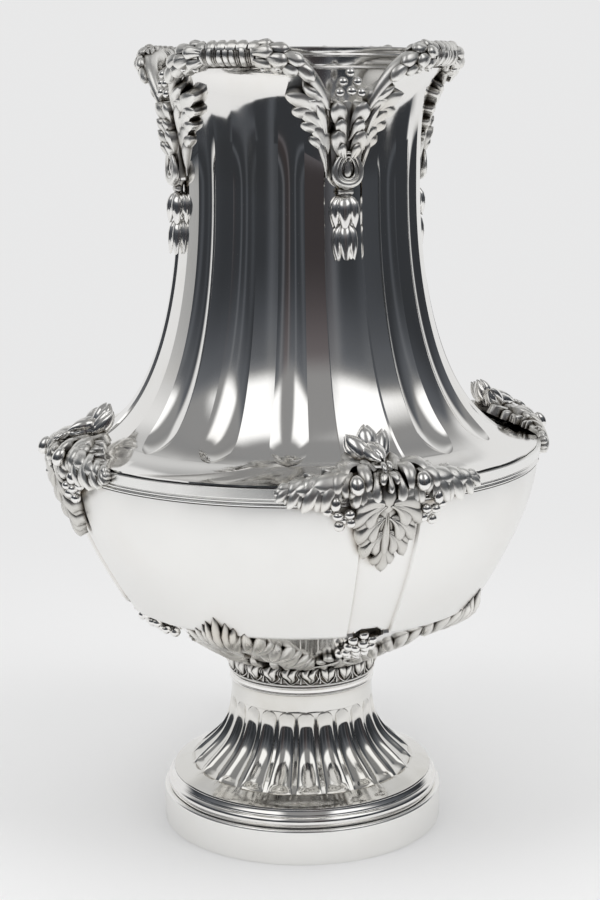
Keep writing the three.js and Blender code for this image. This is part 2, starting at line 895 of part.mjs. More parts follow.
function mountGeometry(axisAngle) {
  const skin = mountSkin(axisAngle);
  const leaf = { floor: castingGap * 1.5, cut: 0.26, widest: 0.5 };
  const parts = [
    leafGeometry(skin, {
      ...leaf,
      spine: bend([0, -mountLeafRoot], [0, mountLeafLength - mountLeafRoot]),
      half: mountLeafHalf,
      steps: 8,
      spans: 2,
      rise: mountLeafRise,
      curl: mountLeafRise * 0.6,
    }),
  ];
  for (const side of [-1, 1]) {
    const wingRoot = [side * mountBudHalf * 0.4, 0];
    const wingTip = [side * mountWingLength, mountWingHalf * 0.3];
    parts.push(
      leafGeometry(skin, {
        ...leaf,
        spine: bend(wingRoot, [side * mountWingLength * 0.5, -mountWingHalf * 0.5], wingTip),
        half: mountWingHalf,
        steps: 6,
        spans: 2,
        rise: mountWingRise,
        curl: mountWingRise * 0.4,
      }),
    );
    const hang = side * mountLeafHalf * 1.3;
    const bunchEnd = mountWingHalf + mountBerry * 4.5;
    const bunchRoot = [hang, mountWingHalf * 0.5];
    parts.push(bunchGeometry(skin, bunchRoot, [hang, bunchEnd], mountBerry, mountBunchHalf));
    parts.push(budGeometry(skin, side * mountBudHalf * 1.1, side * mountBudHalf * 2, 0.8));
  }
  parts.push(budGeometry(skin, 0, 0, 1));
  return joinCasting(parts);
}

// A closed tulip bud that points up the neck.
function budGeometry(skin, root, tip, size) {
  return leafGeometry(skin, {
    spine: bend([root, 0], [tip, -mountBudLength * size]),
    floor: castingGap * 2.5,
    half: mountBudHalf,
    steps: 3,
    spans: 1,
    widest: 0.5,
    cut: 0.1,
    rise: mountBudRise,
    curl: 0,
  });
}

mountNames.forEach((name, mount) => {
  addPiece(`shoulder_mount_${name}`, mountGeometry(radians(mount * quarterTurn)), castSilver);
});

// Mounts round the bottom of the bowl: four big leaves with a sprig and berries between them.
function basePath() {
  const path = [];
  for (let i = 0; i <= mountSamples; i += 1) {
    path.push(underCurve.getPoint(i / mountSamples));
  }
  for (let i = 1; i <= mountSamples / 2; i += 1) {
    path.push(bellyCurve.getPoint((0.4 * i) / mountSamples));
  }
  return path;
}

function baseLeafGeometry(axisAngle) {
  return leafGeometry(pathSkin(basePath(), axisAngle), {
    spine: bend([0, baseLeafRoot], [0, baseLeafRoot + baseLeafLength]),
    floor: castingGap,
    half: baseLeafHalf,
    steps: 8,
    spans: 4,
    widest: 0.62,
    cut: 0.26,
    rise: baseLeafRise,
    curl: baseLeafRise * 0.7,
  });
}

function baseBerryGeometry(axisAngle) {
  const skin = pathSkin(basePath(), axisAngle);
  const root = [0, baseLeafLength - baseBerry * 2];
  const tip = [0, baseLeafLength - baseBerry * 9];
  return bunchGeometry(skin, root, tip, baseBerry, baseBunchHalf);
}

function baseSprigGeometry(axisAngle) {
  const skin = pathSkin(basePath(), axisAngle);
  const parts = [-1, 1].map((side) =>
    leafGeometry(skin, {
      spine: bend(
        [-side * sprigCross, sprigRoot],
        [side * sprigReach * 0.4, sprigRoot + sprigClimb * 0.9],
        [side * sprigReach, sprigRoot + sprigClimb],
      ),
      floor: castingGap,
      half: sprigHalf,
      steps: 4,
      spans: 1,
      widest: 0.5,
      cut: 0.4,
      rise: sprigRise,
      curl: 0,
    }),
  );
  return joinCasting(parts);
}

mountNames.forEach((name, mount) => {
  const axisAngle = radians(mount * quarterTurn);
  addPiece(`base_berries_${name}`, baseBerryGeometry(axisAngle), castSilver);
  addPiece(`base_sprig_${name}`, baseSprigGeometry(axisAngle), castSilver);
});

lobeNames.forEach((name, lobe) => {
  const axisAngle = radians(halfLobe + lobe * quarterTurn);
  addPiece(`base_leaf_${name}`, baseLeafGeometry(axisAngle), castSilver);
});

// The ring soldered in the mouth, and the liner whose bead rests on it.
const linerRadius = neckRadius - neckFluteDepth - wall - linerClearance;
const seatBore = linerRadius + linerClearance / 2;
const seatTop = waistHeight + seatRise;

function seatProfile() {
  const outer = seatBore + seatBearing;
  return [
    point(seatBore, seatTop - seatHeight),
    point(outer, seatTop - seatHeight),
    point(outer, seatTop),
    point(seatBore, seatTop),
  ];
}

addPiece('liner_seat', turn(evenAngles(smallColumns), seatProfile), silver);

function linerGeometry() {
  const beadBottom = seatTop + seam;
  const beadTop = beadBottom + linerBeadHeight;
  const bead = seatBore + seatBearing;
  const rimTop = borderHeight + linerRimRise;
  const rimBottom = rimTop - linerMoulding;
  const bottom = rimTop - linerHeight;
  const bore = linerRadius - linerWall;
  const profile = [
    point(0, bottom),
    point(linerRadius - linerCorner, bottom),
    point(linerRadius, bottom + linerCorner),
    point(linerRadius, beadBottom),
    point(bead, beadBottom),
    point(linerRadius, beadTop),
    point(linerRadius, rimBottom),
    point(linerRadius + linerFlare * 0.6, rimBottom + linerMoulding * 0.25),
    point(linerRadius + linerFlare, rimBottom + linerMoulding * 0.6),
    point(linerRadius + linerFlare, rimTop),
    point(bore, rimTop),
    point(bore, bottom + linerCorner),
    point(bore - linerCorner, bottom + linerWall),
    point(0, bottom + linerWall),
  ];
  return turn(evenAngles(smallColumns), () => profile);
}

addPiece('liner', linerGeometry(), silver);

export default vase;
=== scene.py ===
# Silver flower vase: sheet-metal body, cast leaf mounts and a liner, on a pale studio table.
# Shapes are drawn in millimetres and become metres when a mesh is made.
import math

import bpy
import numpy as np
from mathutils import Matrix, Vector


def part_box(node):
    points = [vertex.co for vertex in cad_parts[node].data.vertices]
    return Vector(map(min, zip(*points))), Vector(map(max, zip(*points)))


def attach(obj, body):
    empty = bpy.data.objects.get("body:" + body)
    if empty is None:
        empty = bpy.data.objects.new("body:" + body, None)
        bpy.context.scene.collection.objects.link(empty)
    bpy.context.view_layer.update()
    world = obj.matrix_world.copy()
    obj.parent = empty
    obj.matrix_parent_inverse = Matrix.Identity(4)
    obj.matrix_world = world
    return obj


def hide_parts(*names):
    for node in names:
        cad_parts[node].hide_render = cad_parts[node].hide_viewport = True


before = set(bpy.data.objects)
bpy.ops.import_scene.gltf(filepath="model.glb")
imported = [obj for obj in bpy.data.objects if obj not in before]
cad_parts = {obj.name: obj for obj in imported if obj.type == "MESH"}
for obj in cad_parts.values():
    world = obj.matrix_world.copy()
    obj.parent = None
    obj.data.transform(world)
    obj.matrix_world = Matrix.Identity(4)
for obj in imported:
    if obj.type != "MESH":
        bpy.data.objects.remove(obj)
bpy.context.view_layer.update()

MM = 0.001
QUARTERS = 4
QUARTER = 360 / QUARTERS
HALF_LOBE = QUARTER / 2
AXES = {"front": 0, "right": 90, "back": 180, "left": 270}
LOBES = {"front_right": 45, "back_right": 135, "back_left": 225, "front_left": 315}


def extent(node):
    """The lowest and highest point and the widest half-width of a CAD node, in millimetres."""
    low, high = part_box(node)
    return low[2] / MM, high[2] / MM, high[0] / MM


# Curves and small helpers.


def smooth(low, high, value):
    share = np.clip((value - low) / (high - low), 0, 1)
    return share * share * (3 - 2 * share)


def bump(centre, width, value):
    return np.exp(-(((value - centre) / width) ** 2))


def blend(low, high, share):
    return low + (high - low) * share


def bezier(points, t):
    """Points and outward normals of a cubic curve that runs upward; t has any shape."""
    a, b, c, d = (np.asarray(p, float) for p in points)
    t = np.asarray(t, float)[..., None]
    s = 1 - t
    at = s**3 * a + 3 * s * s * t * b + 3 * s * t * t * c + t**3 * d
    along = 3 * s * s * (b - a) + 6 * s * t * (c - b) + 3 * t * t * (d - c)
    along = along / np.linalg.norm(along, axis=-1, keepdims=True)
    out = np.stack([along[..., 1], -along[..., 0]], -1)
    return at, out


def run_along(points):
    """How far along a path each of its points lies."""
    return np.concatenate([[0], np.cumsum(np.linalg.norm(np.diff(points, axis=0), axis=1))])


def on_axis(radius, angle, height):
    turn = np.radians(angle)
    radius, turn, height = np.broadcast_arrays(radius, turn, height)
    return np.stack([radius * np.sin(turn), -radius * np.cos(turn), height], -1)


def from_lobe(angle):
    return np.abs(np.mod(angle, QUARTER) - HALF_LOBE)


def from_mount(angle):
    return HALF_LOBE - from_lobe(angle)


# Meshes.


def grid_faces(rows, columns, wrap_rows, wrap_columns):
    """Quads of a grid of points; a wrapped grid closes on itself."""
    row_count = rows if wrap_rows else rows - 1
    column_count = columns if wrap_columns else columns - 1
    i, j = np.meshgrid(np.arange(row_count), np.arange(column_count), indexing="ij")
    k, m = (i + 1) % rows, (j + 1) % columns
    return np.stack([i * columns + j, i * columns + m, k * columns + m, k * columns + j], -1).reshape(-1, 4)


def capped_faces(rings, sides):
    """Faces of a row of rings with a cap at each end."""
    faces = [tuple(face) for face in grid_faces(rings, sides, False, True)]
    last = (rings - 1) * sides
    return faces + [tuple(range(sides))[::-1], tuple(range(last, last + sides))]


def add_object(name, data):
    made = bpy.data.objects.new(name, data)
    bpy.context.collection.objects.link(made)
    return made


def make_object(name, points, faces, material, crease):
    """A smooth mesh, with sharp edges where faces meet at more than the crease angle."""
    mesh = bpy.data.meshes.new(name)
    points = np.asarray(points, float).reshape(-1, 3) * MM
    mesh.from_pydata(points.tolist(), [], [tuple(face) for face in faces])
    mesh.validate()
    mesh.materials.append(material)
    mesh.shade_smooth()
    mesh.set_sharp_from_angle(angle=math.radians(crease))
    return add_object(name, mesh)


def face_out(made):
    bpy.context.view_layer.objects.active = made
    made.select_set(True)
    bpy.ops.object.mode_set(mode="EDIT")
    bpy.ops.mesh.select_all(action="SELECT")
    bpy.ops.mesh.normals_make_consistent(inside=False)
    bpy.ops.object.mode_set(mode="OBJECT")
    made.select_set(False)


def place(made, body, slot, *nodes):
    """Seats a piece on its body, in the place of the CAD nodes that it stands for."""
    face_out(made)
    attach(made, body)
    if nodes:
        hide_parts(*nodes)


def sheet(name, angles, profile, material, crease):
    """A closed shell: profile(angles) gives rows of (radius, height) for all angles at once."""
    rows = profile(angles)
    points = on_axis(rows[..., 0], angles[None, :], rows[..., 1])
    return make_object(name, points, grid_faces(*points.shape[:2], True, True), material, crease)


def turned(outline):
    """A profile for sheet() that is the same at every angle."""
    outline = np.asarray(outline, float)
    return lambda angles: np.repeat(outline[:, None, :], len(angles), 1)


PLAIN_COLUMNS = 256


def turned_body(name, outline, material, crease=40):
    angles = np.arange(PLAIN_COLUMNS) * 360 / PLAIN_COLUMNS
    return sheet(name, angles, turned(outline), material, crease)


def arc(centre, radius, start, end, steps):
    turn = np.radians(np.linspace(start, end, steps))
    return [[centre[0] + radius * math.cos(a), centre[1] + radius * math.sin(a)] for a in turn]


# Materials.


def node_material(name):
    made = bpy.data.materials.new(name)
    made.use_nodes = True
    return made, made.node_tree.nodes, made.node_tree.links


def add_node(nodes, kind, values):
    """A shader node with plain values on some of its inputs."""
    made = nodes.new(kind)
    for name, value in values.items():
        made.inputs[name].default_value = value
    return made


def noise(nodes, links, scale, detail, stretch=(1, 1, 1)):
    where = nodes.new("ShaderNodeTexCoord")
    mapping = add_node(nodes, "ShaderNodeMapping", {"Scale": stretch})
    texture = add_node(nodes, "ShaderNodeTexNoise", {"Scale": scale, "Detail": detail})
    links.new(where.outputs["Object"], mapping.inputs["Vector"])
    links.new(mapping.outputs["Vector"], texture.inputs["Vector"])
    return texture.outputs["Fac"]


def spread(nodes, links, value, low, high, to_low, to_high):
    ends = {"From Min": low, "From Max": high, "To Min": to_low, "To Max": to_high}
    made = add_node(nodes, "ShaderNodeMapRange", ends)
    links.new(value, made.inputs["Value"])
    return made.outputs["Result"]


def mixed(nodes, links, share, first, second):
    made = nodes.new("ShaderNodeMix")
    made.data_type = "RGBA"
    links.new(share, made.inputs["Factor"])
    for socket, colour in ((6, first), (7, second)):
        if isinstance(colour, tuple):
            made.inputs[socket].default_value = (*colour, 1)
        else:
            links.new(colour, made.inputs[socket])
    return made.outputs[2]


# Noises are given as scale and detail, and edges as the part of a noise that is spread out.
CLOUDS = (28, 4)
CLOUD_EDGES = (0.52, 0.78)
POLISH = (60, 3)
POLISH_EDGES = (0.35, 0.65)
GRAIN = (900, 2)
GRAIN_STRETCH = (1, 1, 0.25)
GRAIN_HEIGHT = 0.02
HOLLOW_SAMPLES = 8


def silver(name, colour, tarnish, rough, grain, recess=None):
    """Silver with cloudy tarnish, uneven polish and fine grain; recess darkens hollows by ambient
    occlusion, as painted shade together with patina.
    """
    made, nodes, links = node_material(name)
    shader = nodes["Principled BSDF"]
    shader.inputs["Metallic"].default_value = 1
    cloudy = spread(nodes, links, noise(nodes, links, *CLOUDS), *CLOUD_EDGES, 0, 1)
    base = mixed(nodes, links, cloudy, colour, tarnish)
    # Recess: ambient occlusion mixes a dark colour into hollows, which is painted shade together with
    # patina.
    if recess:
        hollow = add_node(nodes, "ShaderNodeAmbientOcclusion", {"Distance": recess["reach"] * MM})
        hollow.samples = HOLLOW_SAMPLES
        depth = spread(nodes, links, hollow.outputs["AO"], recess["dark"], recess["clear"], 1, 0)
        base = mixed(nodes, links, depth, base, recess["colour"])
    links.new(base, shader.inputs["Base Color"])
    uneven = spread(nodes, links, noise(nodes, links, *POLISH), *POLISH_EDGES, *rough)
    links.new(uneven, shader.inputs["Roughness"])
    relief = add_node(nodes, "ShaderNodeBump", {"Strength": grain, "Distance": GRAIN_HEIGHT * MM})
    links.new(noise(nodes, links, *GRAIN, GRAIN_STRETCH), relief.inputs["Height"])
    links.new(relief.outputs["Normal"], shader.inputs["Normal"])
    return made


CLEAN = (0.93, 0.92, 0.9)
CLEAN_CLOUD = (0.87, 0.85, 0.81)
WHITE = (0.95, 0.945, 0.925)
WHITE_CLOUD = (0.94, 0.93, 0.905)
# Recess colours are mixed into hollows by ambient occlusion. They are painted shade together with patina,
# except the foot's, which is painted shade only.
SATIN_PATINA_SHADE = (0.34, 0.28, 0.21)
CAST_PATINA_SHADE = (0.11, 0.092, 0.07)
DARK_PATINA_SHADE = (0.07, 0.058, 0.044)
FOOT_PAINTED_SHADE = (0.42, 0.38, 0.32)
DULL = (0.25, 0.34)

satin_recess = {"reach": 5, "dark": 0.35, "clear": 0.9, "colour": SATIN_PATINA_SHADE}
cast_recess = {"reach": 4.6, "dark": 0.42, "clear": 0.94, "colour": CAST_PATINA_SHADE}
stained_recess_shade = {"reach": 3.6, "dark": 0.56, "clear": 0.98, "colour": DARK_PATINA_SHADE}
dulled_recess = {"reach": 3.6, "dark": 0.58, "clear": 0.99, "colour": DARK_PATINA_SHADE}
# Foot recess: painted shade darkening the flutes' arched ends.
foot_recess = {"reach": 3.4, "dark": 0.5, "clear": 0.97, "colour": FOOT_PAINTED_SHADE}

POLISHED = silver("polished_silver", CLEAN, CLEAN_CLOUD, (0.06, 0.1), 0.2)
BURNISHED = silver("burnished_silver", CLEAN, CLEAN_CLOUD, (0.13, 0.19), 0.3)
SATIN = silver("satin_silver", WHITE, WHITE_CLOUD, (0.31, 0.37), 0.12, satin_recess)
BRUSHED = silver("brushed_silver", WHITE, WHITE_CLOUD, (0.2, 0.26), 0.12)
CHASED = silver("cast_silver", (0.93, 0.92, 0.89), (0.8, 0.76, 0.69), (0.27, 0.37), 0.4, cast_recess)
# Stained cast silver has darker tarnish clouds, and its strong recess darkening is painted shade with
# patina.
STAINED_SHADED_CAST = silver("stained_shaded_cast_silver", (0.9, 0.885, 0.85), (0.7, 0.66, 0.59), DULL, 0.4, stained_recess_shade)
DULLED = silver("dulled_cast_silver", (0.74, 0.725, 0.69), (0.5, 0.47, 0.41), DULL, 0.5, dulled_recess)
FOOT_SILVER = silver("foot_silver", (0.81, 0.8, 0.77), (0.72, 0.7, 0.65), (0.07, 0.11), 0.2, foot_recess)
# Near-black silver for the niche behind the berries: painted shade with some tarnish.
NICHE_TARNISH_SHADE = silver("tarnished_shaded_silver", (0.06, 0.052, 0.042), (0.035, 0.03, 0.025), (0.4, 0.5), 0.3)

# Foot: plinth, moulding, fluted stem and collar.
_, plinth_high, FOOT_RADIUS = extent("foot_plinth")
PLINTH_WALL = 2.2
PLINTH_EDGE = 1.3
PLINTH_FOOT = 0.4
PLINTH_SHELF = 5
MOULDING_INSET = 2.7
LEDGE_INSET = 2.6
LEDGE = FOOT_RADIUS - MOULDING_INSET - LEDGE_INSET


def build_plinth():
    inner = FOOT_RADIUS - PLINTH_WALL
    outline = arc((FOOT_RADIUS - PLINTH_FOOT, PLINTH_FOOT), PLINTH_FOOT, -90, 0, 4)
    outline += arc((FOOT_RADIUS - PLINTH_EDGE, plinth_high - PLINTH_EDGE), PLINTH_EDGE, 0, 90, 7)
    outline += [[inner - MOULDING_INSET, plinth_high], [inner, plinth_high - PLINTH_SHELF], [inner, 0]]
    place(turned_body("plinth", outline, BRUSHED), "vase", "satin_silver", "foot_plinth")


def build_moulding():
    """A heavy roll, a small cove above it and a flat ledge."""
    low, high, wide = extent("foot_moulding")
    outline = [[wide - 2.0, low], [wide - 0.7, low + 0.1]]
    outline += arc((wide - 2.6, low + 2.7), 2.6, -62, 70, 14)
    outline += arc((wide - 1.35, low + 6.0), 0.75, 235, 180, 5)
    outline += [[wide - 2.4, high - 1.9], [wide - 2.9, high - 0.9], [LEDGE, high - 0.3], [LEDGE, high]]
    outline += [[LEDGE - 2, high], [LEDGE - 2, low]]
    place(turned_body("moulding", outline, POLISHED), "vase", "polished_silver", "foot_moulding")


STEM_FOOT = 57.2
STEM_NECK = 36.4
STEM_LEDGE = 4
STEM_LEAN = (9.6, 11.7)
STEM_RUN = 31.6
STEM_FLUTES = 24
STEM_FLUTE_DEPTH = 2.3
STEM_FLUTE_END = 0.905
STEM_RIB = 0.13
STEM_TURN = -2
STEM_CREASE = 15
STEM_COLUMNS = (-1, -0.985, -0.95, -0.85, -0.7, -0.5, -0.25, 0, 0.25, 0.5, 0.7, 0.85, 0.95, 0.985, 1)


def build_stem():
    """Each flute has columns across its width, with one more on the rib that follows it."""
    low, high, _ = extent("foot_stem")
    spring = low + STEM_LEDGE
    curve = [
        (STEM_FOOT, spring),
        (STEM_FOOT - STEM_LEAN[0], spring + STEM_LEAN[1]),
        (STEM_NECK, high - STEM_RUN),
        (STEM_NECK, high),
    ]
    pitch = 360 / STEM_FLUTES
    shares = np.tile([*STEM_COLUMNS, 0], STEM_FLUTES)
    rib = np.tile([False] * len(STEM_COLUMNS) + [True], STEM_FLUTES)
    number = np.repeat(np.arange(STEM_FLUTES), len(STEM_COLUMNS) + 1)
    angles = (number + 0.5 * rib) * pitch + STEM_TURN
    t = [[0, 0.004], np.linspace(0.02, 0.8, 60), np.linspace(0.81, 0.93, 26), [0.95, 0.975, 1]]
    t = np.concatenate(t)
    at, out = bezier(curve, t)
    half_width = at[:, 0] * math.radians(pitch / 2) * (1 - STEM_RIB)
    arch = half_width[np.searchsorted(t, STEM_FLUTE_END)]
    run = run_along(at)
    end = np.interp(STEM_FLUTE_END, t, run)
    left = np.clip((end - run) / arch, 0, 1)
    round_end = np.sqrt(np.clip(1 - (1 - left) ** 2, 0, 1))
    sunk = np.sin(np.clip((end - run) / (arch * 2.1), 0, 1) * math.pi / 2)
    open_width = np.maximum(round_end, 0.02) * (pitch / 2) * (1 - STEM_RIB)
    turn = angles + np.where(rib, 0, shares) * open_width[:, None]
    foot = 0.45 + 0.55 * smooth(0, 0.12, t)
    hollow = np.sqrt(np.clip(1 - shares**2 * 0.96, 0, 1)) - 0.2
    hollow = np.where(rib | (np.abs(shares) >= 1), 0, np.clip(hollow, 0, 1) / 0.8)
    depth = STEM_FLUTE_DEPTH * hollow * (foot * sunk)[:, None]
    radius = at[:, :1] - out[:, :1] * depth
    height = np.minimum(at[:, 1:] - out[:, 1:] * depth, high)
    inside = [(STEM_NECK - 3, high), (STEM_NECK - 2.6, high - 22)]
    inside += [(STEM_FOOT - 12, spring + 8), (STEM_FOOT - 4, low + 1)]
    edge = [(LEDGE - 2, low), (LEDGE, low), (LEDGE - 0.2, low + 0.4)]
    steps = (0, 0.3, 0.6, 0.9)
    slope = [(blend(LEDGE - 0.4, STEM_FOOT, s), blend(low + 0.5, spring, s**1.2)) for s in steps]
    points = [on_axis(radius, turn, height)]
    points += [on_axis(r, turn[:1], z) for r, z in inside + edge + slope]
    points = np.concatenate(points)
    faces = grid_faces(*points.shape[:2], True, True)
    made = make_object("fluted_stem", points, faces, FOOT_SILVER, STEM_CREASE)
    place(made, "vase", "polished_silver", "foot_stem")


def build_collar():
    """A plain ring between two fillets."""
    low, high, wide = extent("foot_collar")
    outline = [[wide - 1.2, low]]
    outline += arc((wide - 0.55, low + 0.6), 0.55, -80, 80, 6)
    outline += [[wide - 0.9, low + 1.35], [wide - 0.3, low + 1.6]]
    outline += [[wide - 0.3, high - 1.7], [wide - 0.9, high - 1.4]]
    outline += arc((wide - 0.75, high - 0.65), 0.6, -80, 90, 6)
    outline += [[30, high], [30, low]]
    place(turned_body("collar", outline, POLISHED), "vase", "polished_silver", "foot_collar")


# Bowl: hollow under-belly, crisp line, satin belly with sunk strips, and the girdle.
bowl_low, bowl_high, BELLY = extent("bowl")
CREASE = 92.4
UNDER_HEIGHT = 31.3
UNDER_SAG = 1.072
CREASE_STEP = 0.9
BELLY_LEAN = (8.5, 14.7)
BELLY_RUN = 25.5
BELLY_TUCK = 1.8
STRIP_HALF = 6.6
STRIP_EDGE = 0.55
STRIP_DEPTH = 1.6
BAND_TOP = 37.8
NICHE_HALF = 5.3
NICHE_TOP = 126
NICHE_ARCH = 8
NICHE_OUT = 82
NICHE_IN = 76
NICHE_DEPTH = 9
NICHE_SLOPE = 0.5
BOWL_WALL = 1.2
BOWL_CREASE = 30
BOWL_FLOOR = 2
crease_level = bowl_low + UNDER_HEIGHT
UNDER_CURVE = [
    (BAND_TOP, bowl_low),
    *(
        (blend(BAND_TOP, CREASE, share) - UNDER_SAG, blend(bowl_low, crease_level, share) + UNDER_SAG)
        for share in (0.36, 0.66)
    ),
    (CREASE - CREASE_STEP, crease_level),
]
BELLY_CURVE = [
    (CREASE, crease_level + CREASE_STEP),
    (CREASE + BELLY_LEAN[0], crease_level + CREASE_STEP + BELLY_LEAN[1]),
    (BELLY - BELLY_TUCK, bowl_high - BELLY_RUN),
    (BELLY, bowl_high),
]


def edge_angles(edges, steps):
    """Angles round the vase: even steps, with extra ones at each edge beside every mount axis."""
    spread_out = np.linspace(0, QUARTER, steps, endpoint=False)
    beside = [side * (edge + nudge) for edge in edges for nudge in (-0.04, 0, 0.04) for side in (1, -1)]
    one = np.unique(np.round(np.concatenate([spread_out, np.mod(beside, QUARTER)]), 4))
    return np.concatenate([one + QUARTER * quarter for quarter in range(QUARTERS)])


def niche_depth(turn, at):
    """How deep the arched niche for the berries is sunk at an angle and a point of the profile."""
    share = np.minimum(np.abs(from_mount(turn)) / NICHE_HALF, 1)
    arch = NICHE_TOP - NICHE_ARCH * (1 - np.sqrt(1 - share**2))
    under_arch = 1 - smooth(-0.5, 0.5, at[..., 1] - arch)
    inside = (1 - smooth(0.93, 1, share)) * smooth(NICHE_IN - 3, NICHE_IN, at[..., 0])
    return NICHE_DEPTH * inside * under_arch


def build_bowl():
    t_under = np.concatenate([np.linspace(0.02, 0.66, 14), np.linspace(0.68, 1, 20)])
    t_belly = np.concatenate([[0, 0.006], np.linspace(0.01, 0.11, 24), np.linspace(0.13, 1, 52)])
    niche_edges = NICHE_HALF * np.array([0.3, 0.5, 0.65, 0.77, 0.86, 0.93, 1])
    angles = edge_angles((*niche_edges, STRIP_HALF, STRIP_HALF + STRIP_EDGE), 90)

    def profile(turn):
        under, _ = bezier(UNDER_CURVE, t_under)
        under = np.repeat(under[:, None, :], len(turn), 1)
        under[..., 1] += niche_depth(turn, under) * NICHE_SLOPE
        under[..., 0] -= niche_depth(turn, under) * NICHE_SLOPE
        at, out = bezier(BELLY_CURVE, t_belly)
        inside = 1 - smooth(STRIP_HALF, STRIP_HALF + STRIP_EDGE, from_mount(turn))
        depth = STRIP_DEPTH * inside[None, :] * (1 - smooth(0.93, 1, t_belly))[:, None]
        belly = at[:, None, :] - out[:, None, :] * depth[..., None]
        belly[..., 0] -= niche_depth(turn, belly)
        belly[-1, :, 1] = bowl_high
        back, back_out = bezier(BELLY_CURVE, np.linspace(1, 0.02, 20))
        inner = np.repeat((back - back_out * (STRIP_DEPTH + BOWL_WALL))[:, None, :], len(turn), 1)
        inner[0, :, 1] = bowl_high
        floor_top = bowl_low + BOWL_FLOOR
        floor = [[BAND_TOP - 2, floor_top], [1, floor_top], [1, bowl_low]]
        middle = turned([[60, bowl_low + 18], *floor])(turn)
        return np.concatenate([under, belly, inner, middle])

    made = sheet("bowl_shell", angles, profile, SATIN, BOWL_CREASE)
    made.data.materials.append(POLISHED)
    made.data.materials.append(NICHE_TARNISH_SHADE)
    polished, tarnish_shade_index = 1, 2
    for face in made.data.polygons:
        x, y, level = face.center / MM
        out = math.hypot(x, y)
        if level < crease_level and out > BAND_TOP:
            face.material_index = polished
        # Faces deep in the berries' niche get the near-black silver, which is painted shade with some
        # tarnish.
        at = np.array([out + NICHE_DEPTH, level])
        if niche_depth(math.degrees(math.atan2(x, -y)), at) > NICHE_DEPTH * 0.4:
            face.material_index = tarnish_shade_index
    place(made, "vase", "satin_silver", "bowl")


GIRDLE_LEAN = 0.25
GIRDLE_FLAT = 4.4
GIRDLE_CREASE = 20


def build_girdle():
    """Two small beads under a flat band that leans out at its top."""
    low, high, wide = extent("girdle_band")
    flat = high - GIRDLE_FLAT
    outline = [[BELLY - 0.4, low]]
    outline += arc((BELLY - 0.35, low + 0.75), 0.75, -70, 75, 7)
    outline += [[BELLY + 0.05, low + 1.75]]
    outline += arc((BELLY + 0.25, low + 2.6), 0.7, -75, 80, 7)
    outline += [[BELLY + 0.4, flat - 0.75], [wide - GIRDLE_LEAN - 0.25, flat - 0.45]]
    outline += [[wide - GIRDLE_LEAN, flat - 0.1], [wide, high - 0.35], [wide - 0.35, high]]
    outline += [[BELLY - 2, high], [BELLY - 2, low]]
    place(turned_body("girdle", outline, BRUSHED, GIRDLE_CREASE), "vase", "polished_silver", "girdle_band")


# Neck: shoulder, waist and lobed mouth in one sheet.
neck_low, _, _ = extent("neck")
SHOULDER = BELLY - 0.3
SHOULDER_EDGE = 0.8
NECK_RADIUS = 60.2
NECK_RISE = 128.4
SHOULDER_RUN = 43.6
NECK_RUN = 60
waist = neck_low + SHOULDER_EDGE + NECK_RISE
NECK_CURVE = [
    (SHOULDER, neck_low + SHOULDER_EDGE),
    (SHOULDER - SHOULDER_RUN, neck_low + SHOULDER_EDGE),
    (NECK_RADIUS, waist - NECK_RUN),
    (NECK_RADIUS, waist),
]
MOUTH_RISE = 60
LOBE_REACH = 13.8
LOBE_DROP = 24
LOBE_TUCK = 7.5
LOBE_END = 36.5
LOBE_POWER = 4
BORDER_RADIUS = 6
BORDER_END = 2.1
BORDER_SEAT = 25
BORDER_GAP = 1.08
BORDER_SINK = 0.86
NOTCH_RISE = 2
FLARE_RUN = 13.5
FLARE_ANGLE = 33.6
FLARE_START = 19
STRAIGHT_ANGLE = 82
SEAM = 0.3
NECK_WALL = 1


def lobe_share(lobe):
    return np.minimum(np.abs(lobe) / LOBE_END, 1)


def border_centre(lobe):
    share = lobe_share(lobe) ** LOBE_POWER
    return NECK_RADIUS + LOBE_REACH - LOBE_TUCK * share, waist + MOUTH_RISE - LOBE_DROP * share


def border_thickness(lobe):
    return blend(BORDER_RADIUS, BORDER_END, lobe_share(lobe) ** (LOBE_POWER * 0.6))


def mouth_curve(lobe):
    """Control points of the flare above the waist, at angles from a lobe's centre."""
    lobe = np.asarray(lobe, float)
    share = lobe_share(lobe) ** LOBE_POWER
    seat = np.radians(blend(BORDER_SEAT, 90, share))
    radius, height = border_centre(lobe)
    gap = border_thickness(lobe) * BORDER_GAP + SEAM
    radius = radius - np.sin(seat) * gap
    height = height - np.cos(seat) * gap + NOTCH_RISE * smooth(LOBE_END, HALF_LOBE, np.abs(lobe))
    lean = np.radians(blend(FLARE_ANGLE, STRAIGHT_ANGLE, share))
    low = np.broadcast_to((NECK_RADIUS, waist), lobe.shape + (2,))
    above = low + np.stack([0 * share, blend(FLARE_START, FLARE_RUN * 0.6, share)], -1)
    top = np.stack([radius, height], -1)
    before = np.stack([radius - FLARE_RUN * np.cos(lean), height - FLARE_RUN * np.sin(lean)], -1)
    return low, above, before, top


def neck_surface(angle, rise):
    """Radius-height points and normals; rise is 0 to 1 up the neck and 1 to 2 up the flare."""
    angle, rise = np.broadcast_arrays(np.asarray(angle, float), np.asarray(rise, float))
    low_at, low_out = bezier(NECK_CURVE, np.clip(rise, 0, 1))
    top_at, top_out = bezier(mouth_curve(from_lobe(angle)), np.clip(rise - 1, 0, 1))
    above = (rise > 1)[..., None]
    return np.where(above, top_at, low_at), np.where(above, top_out, low_out)


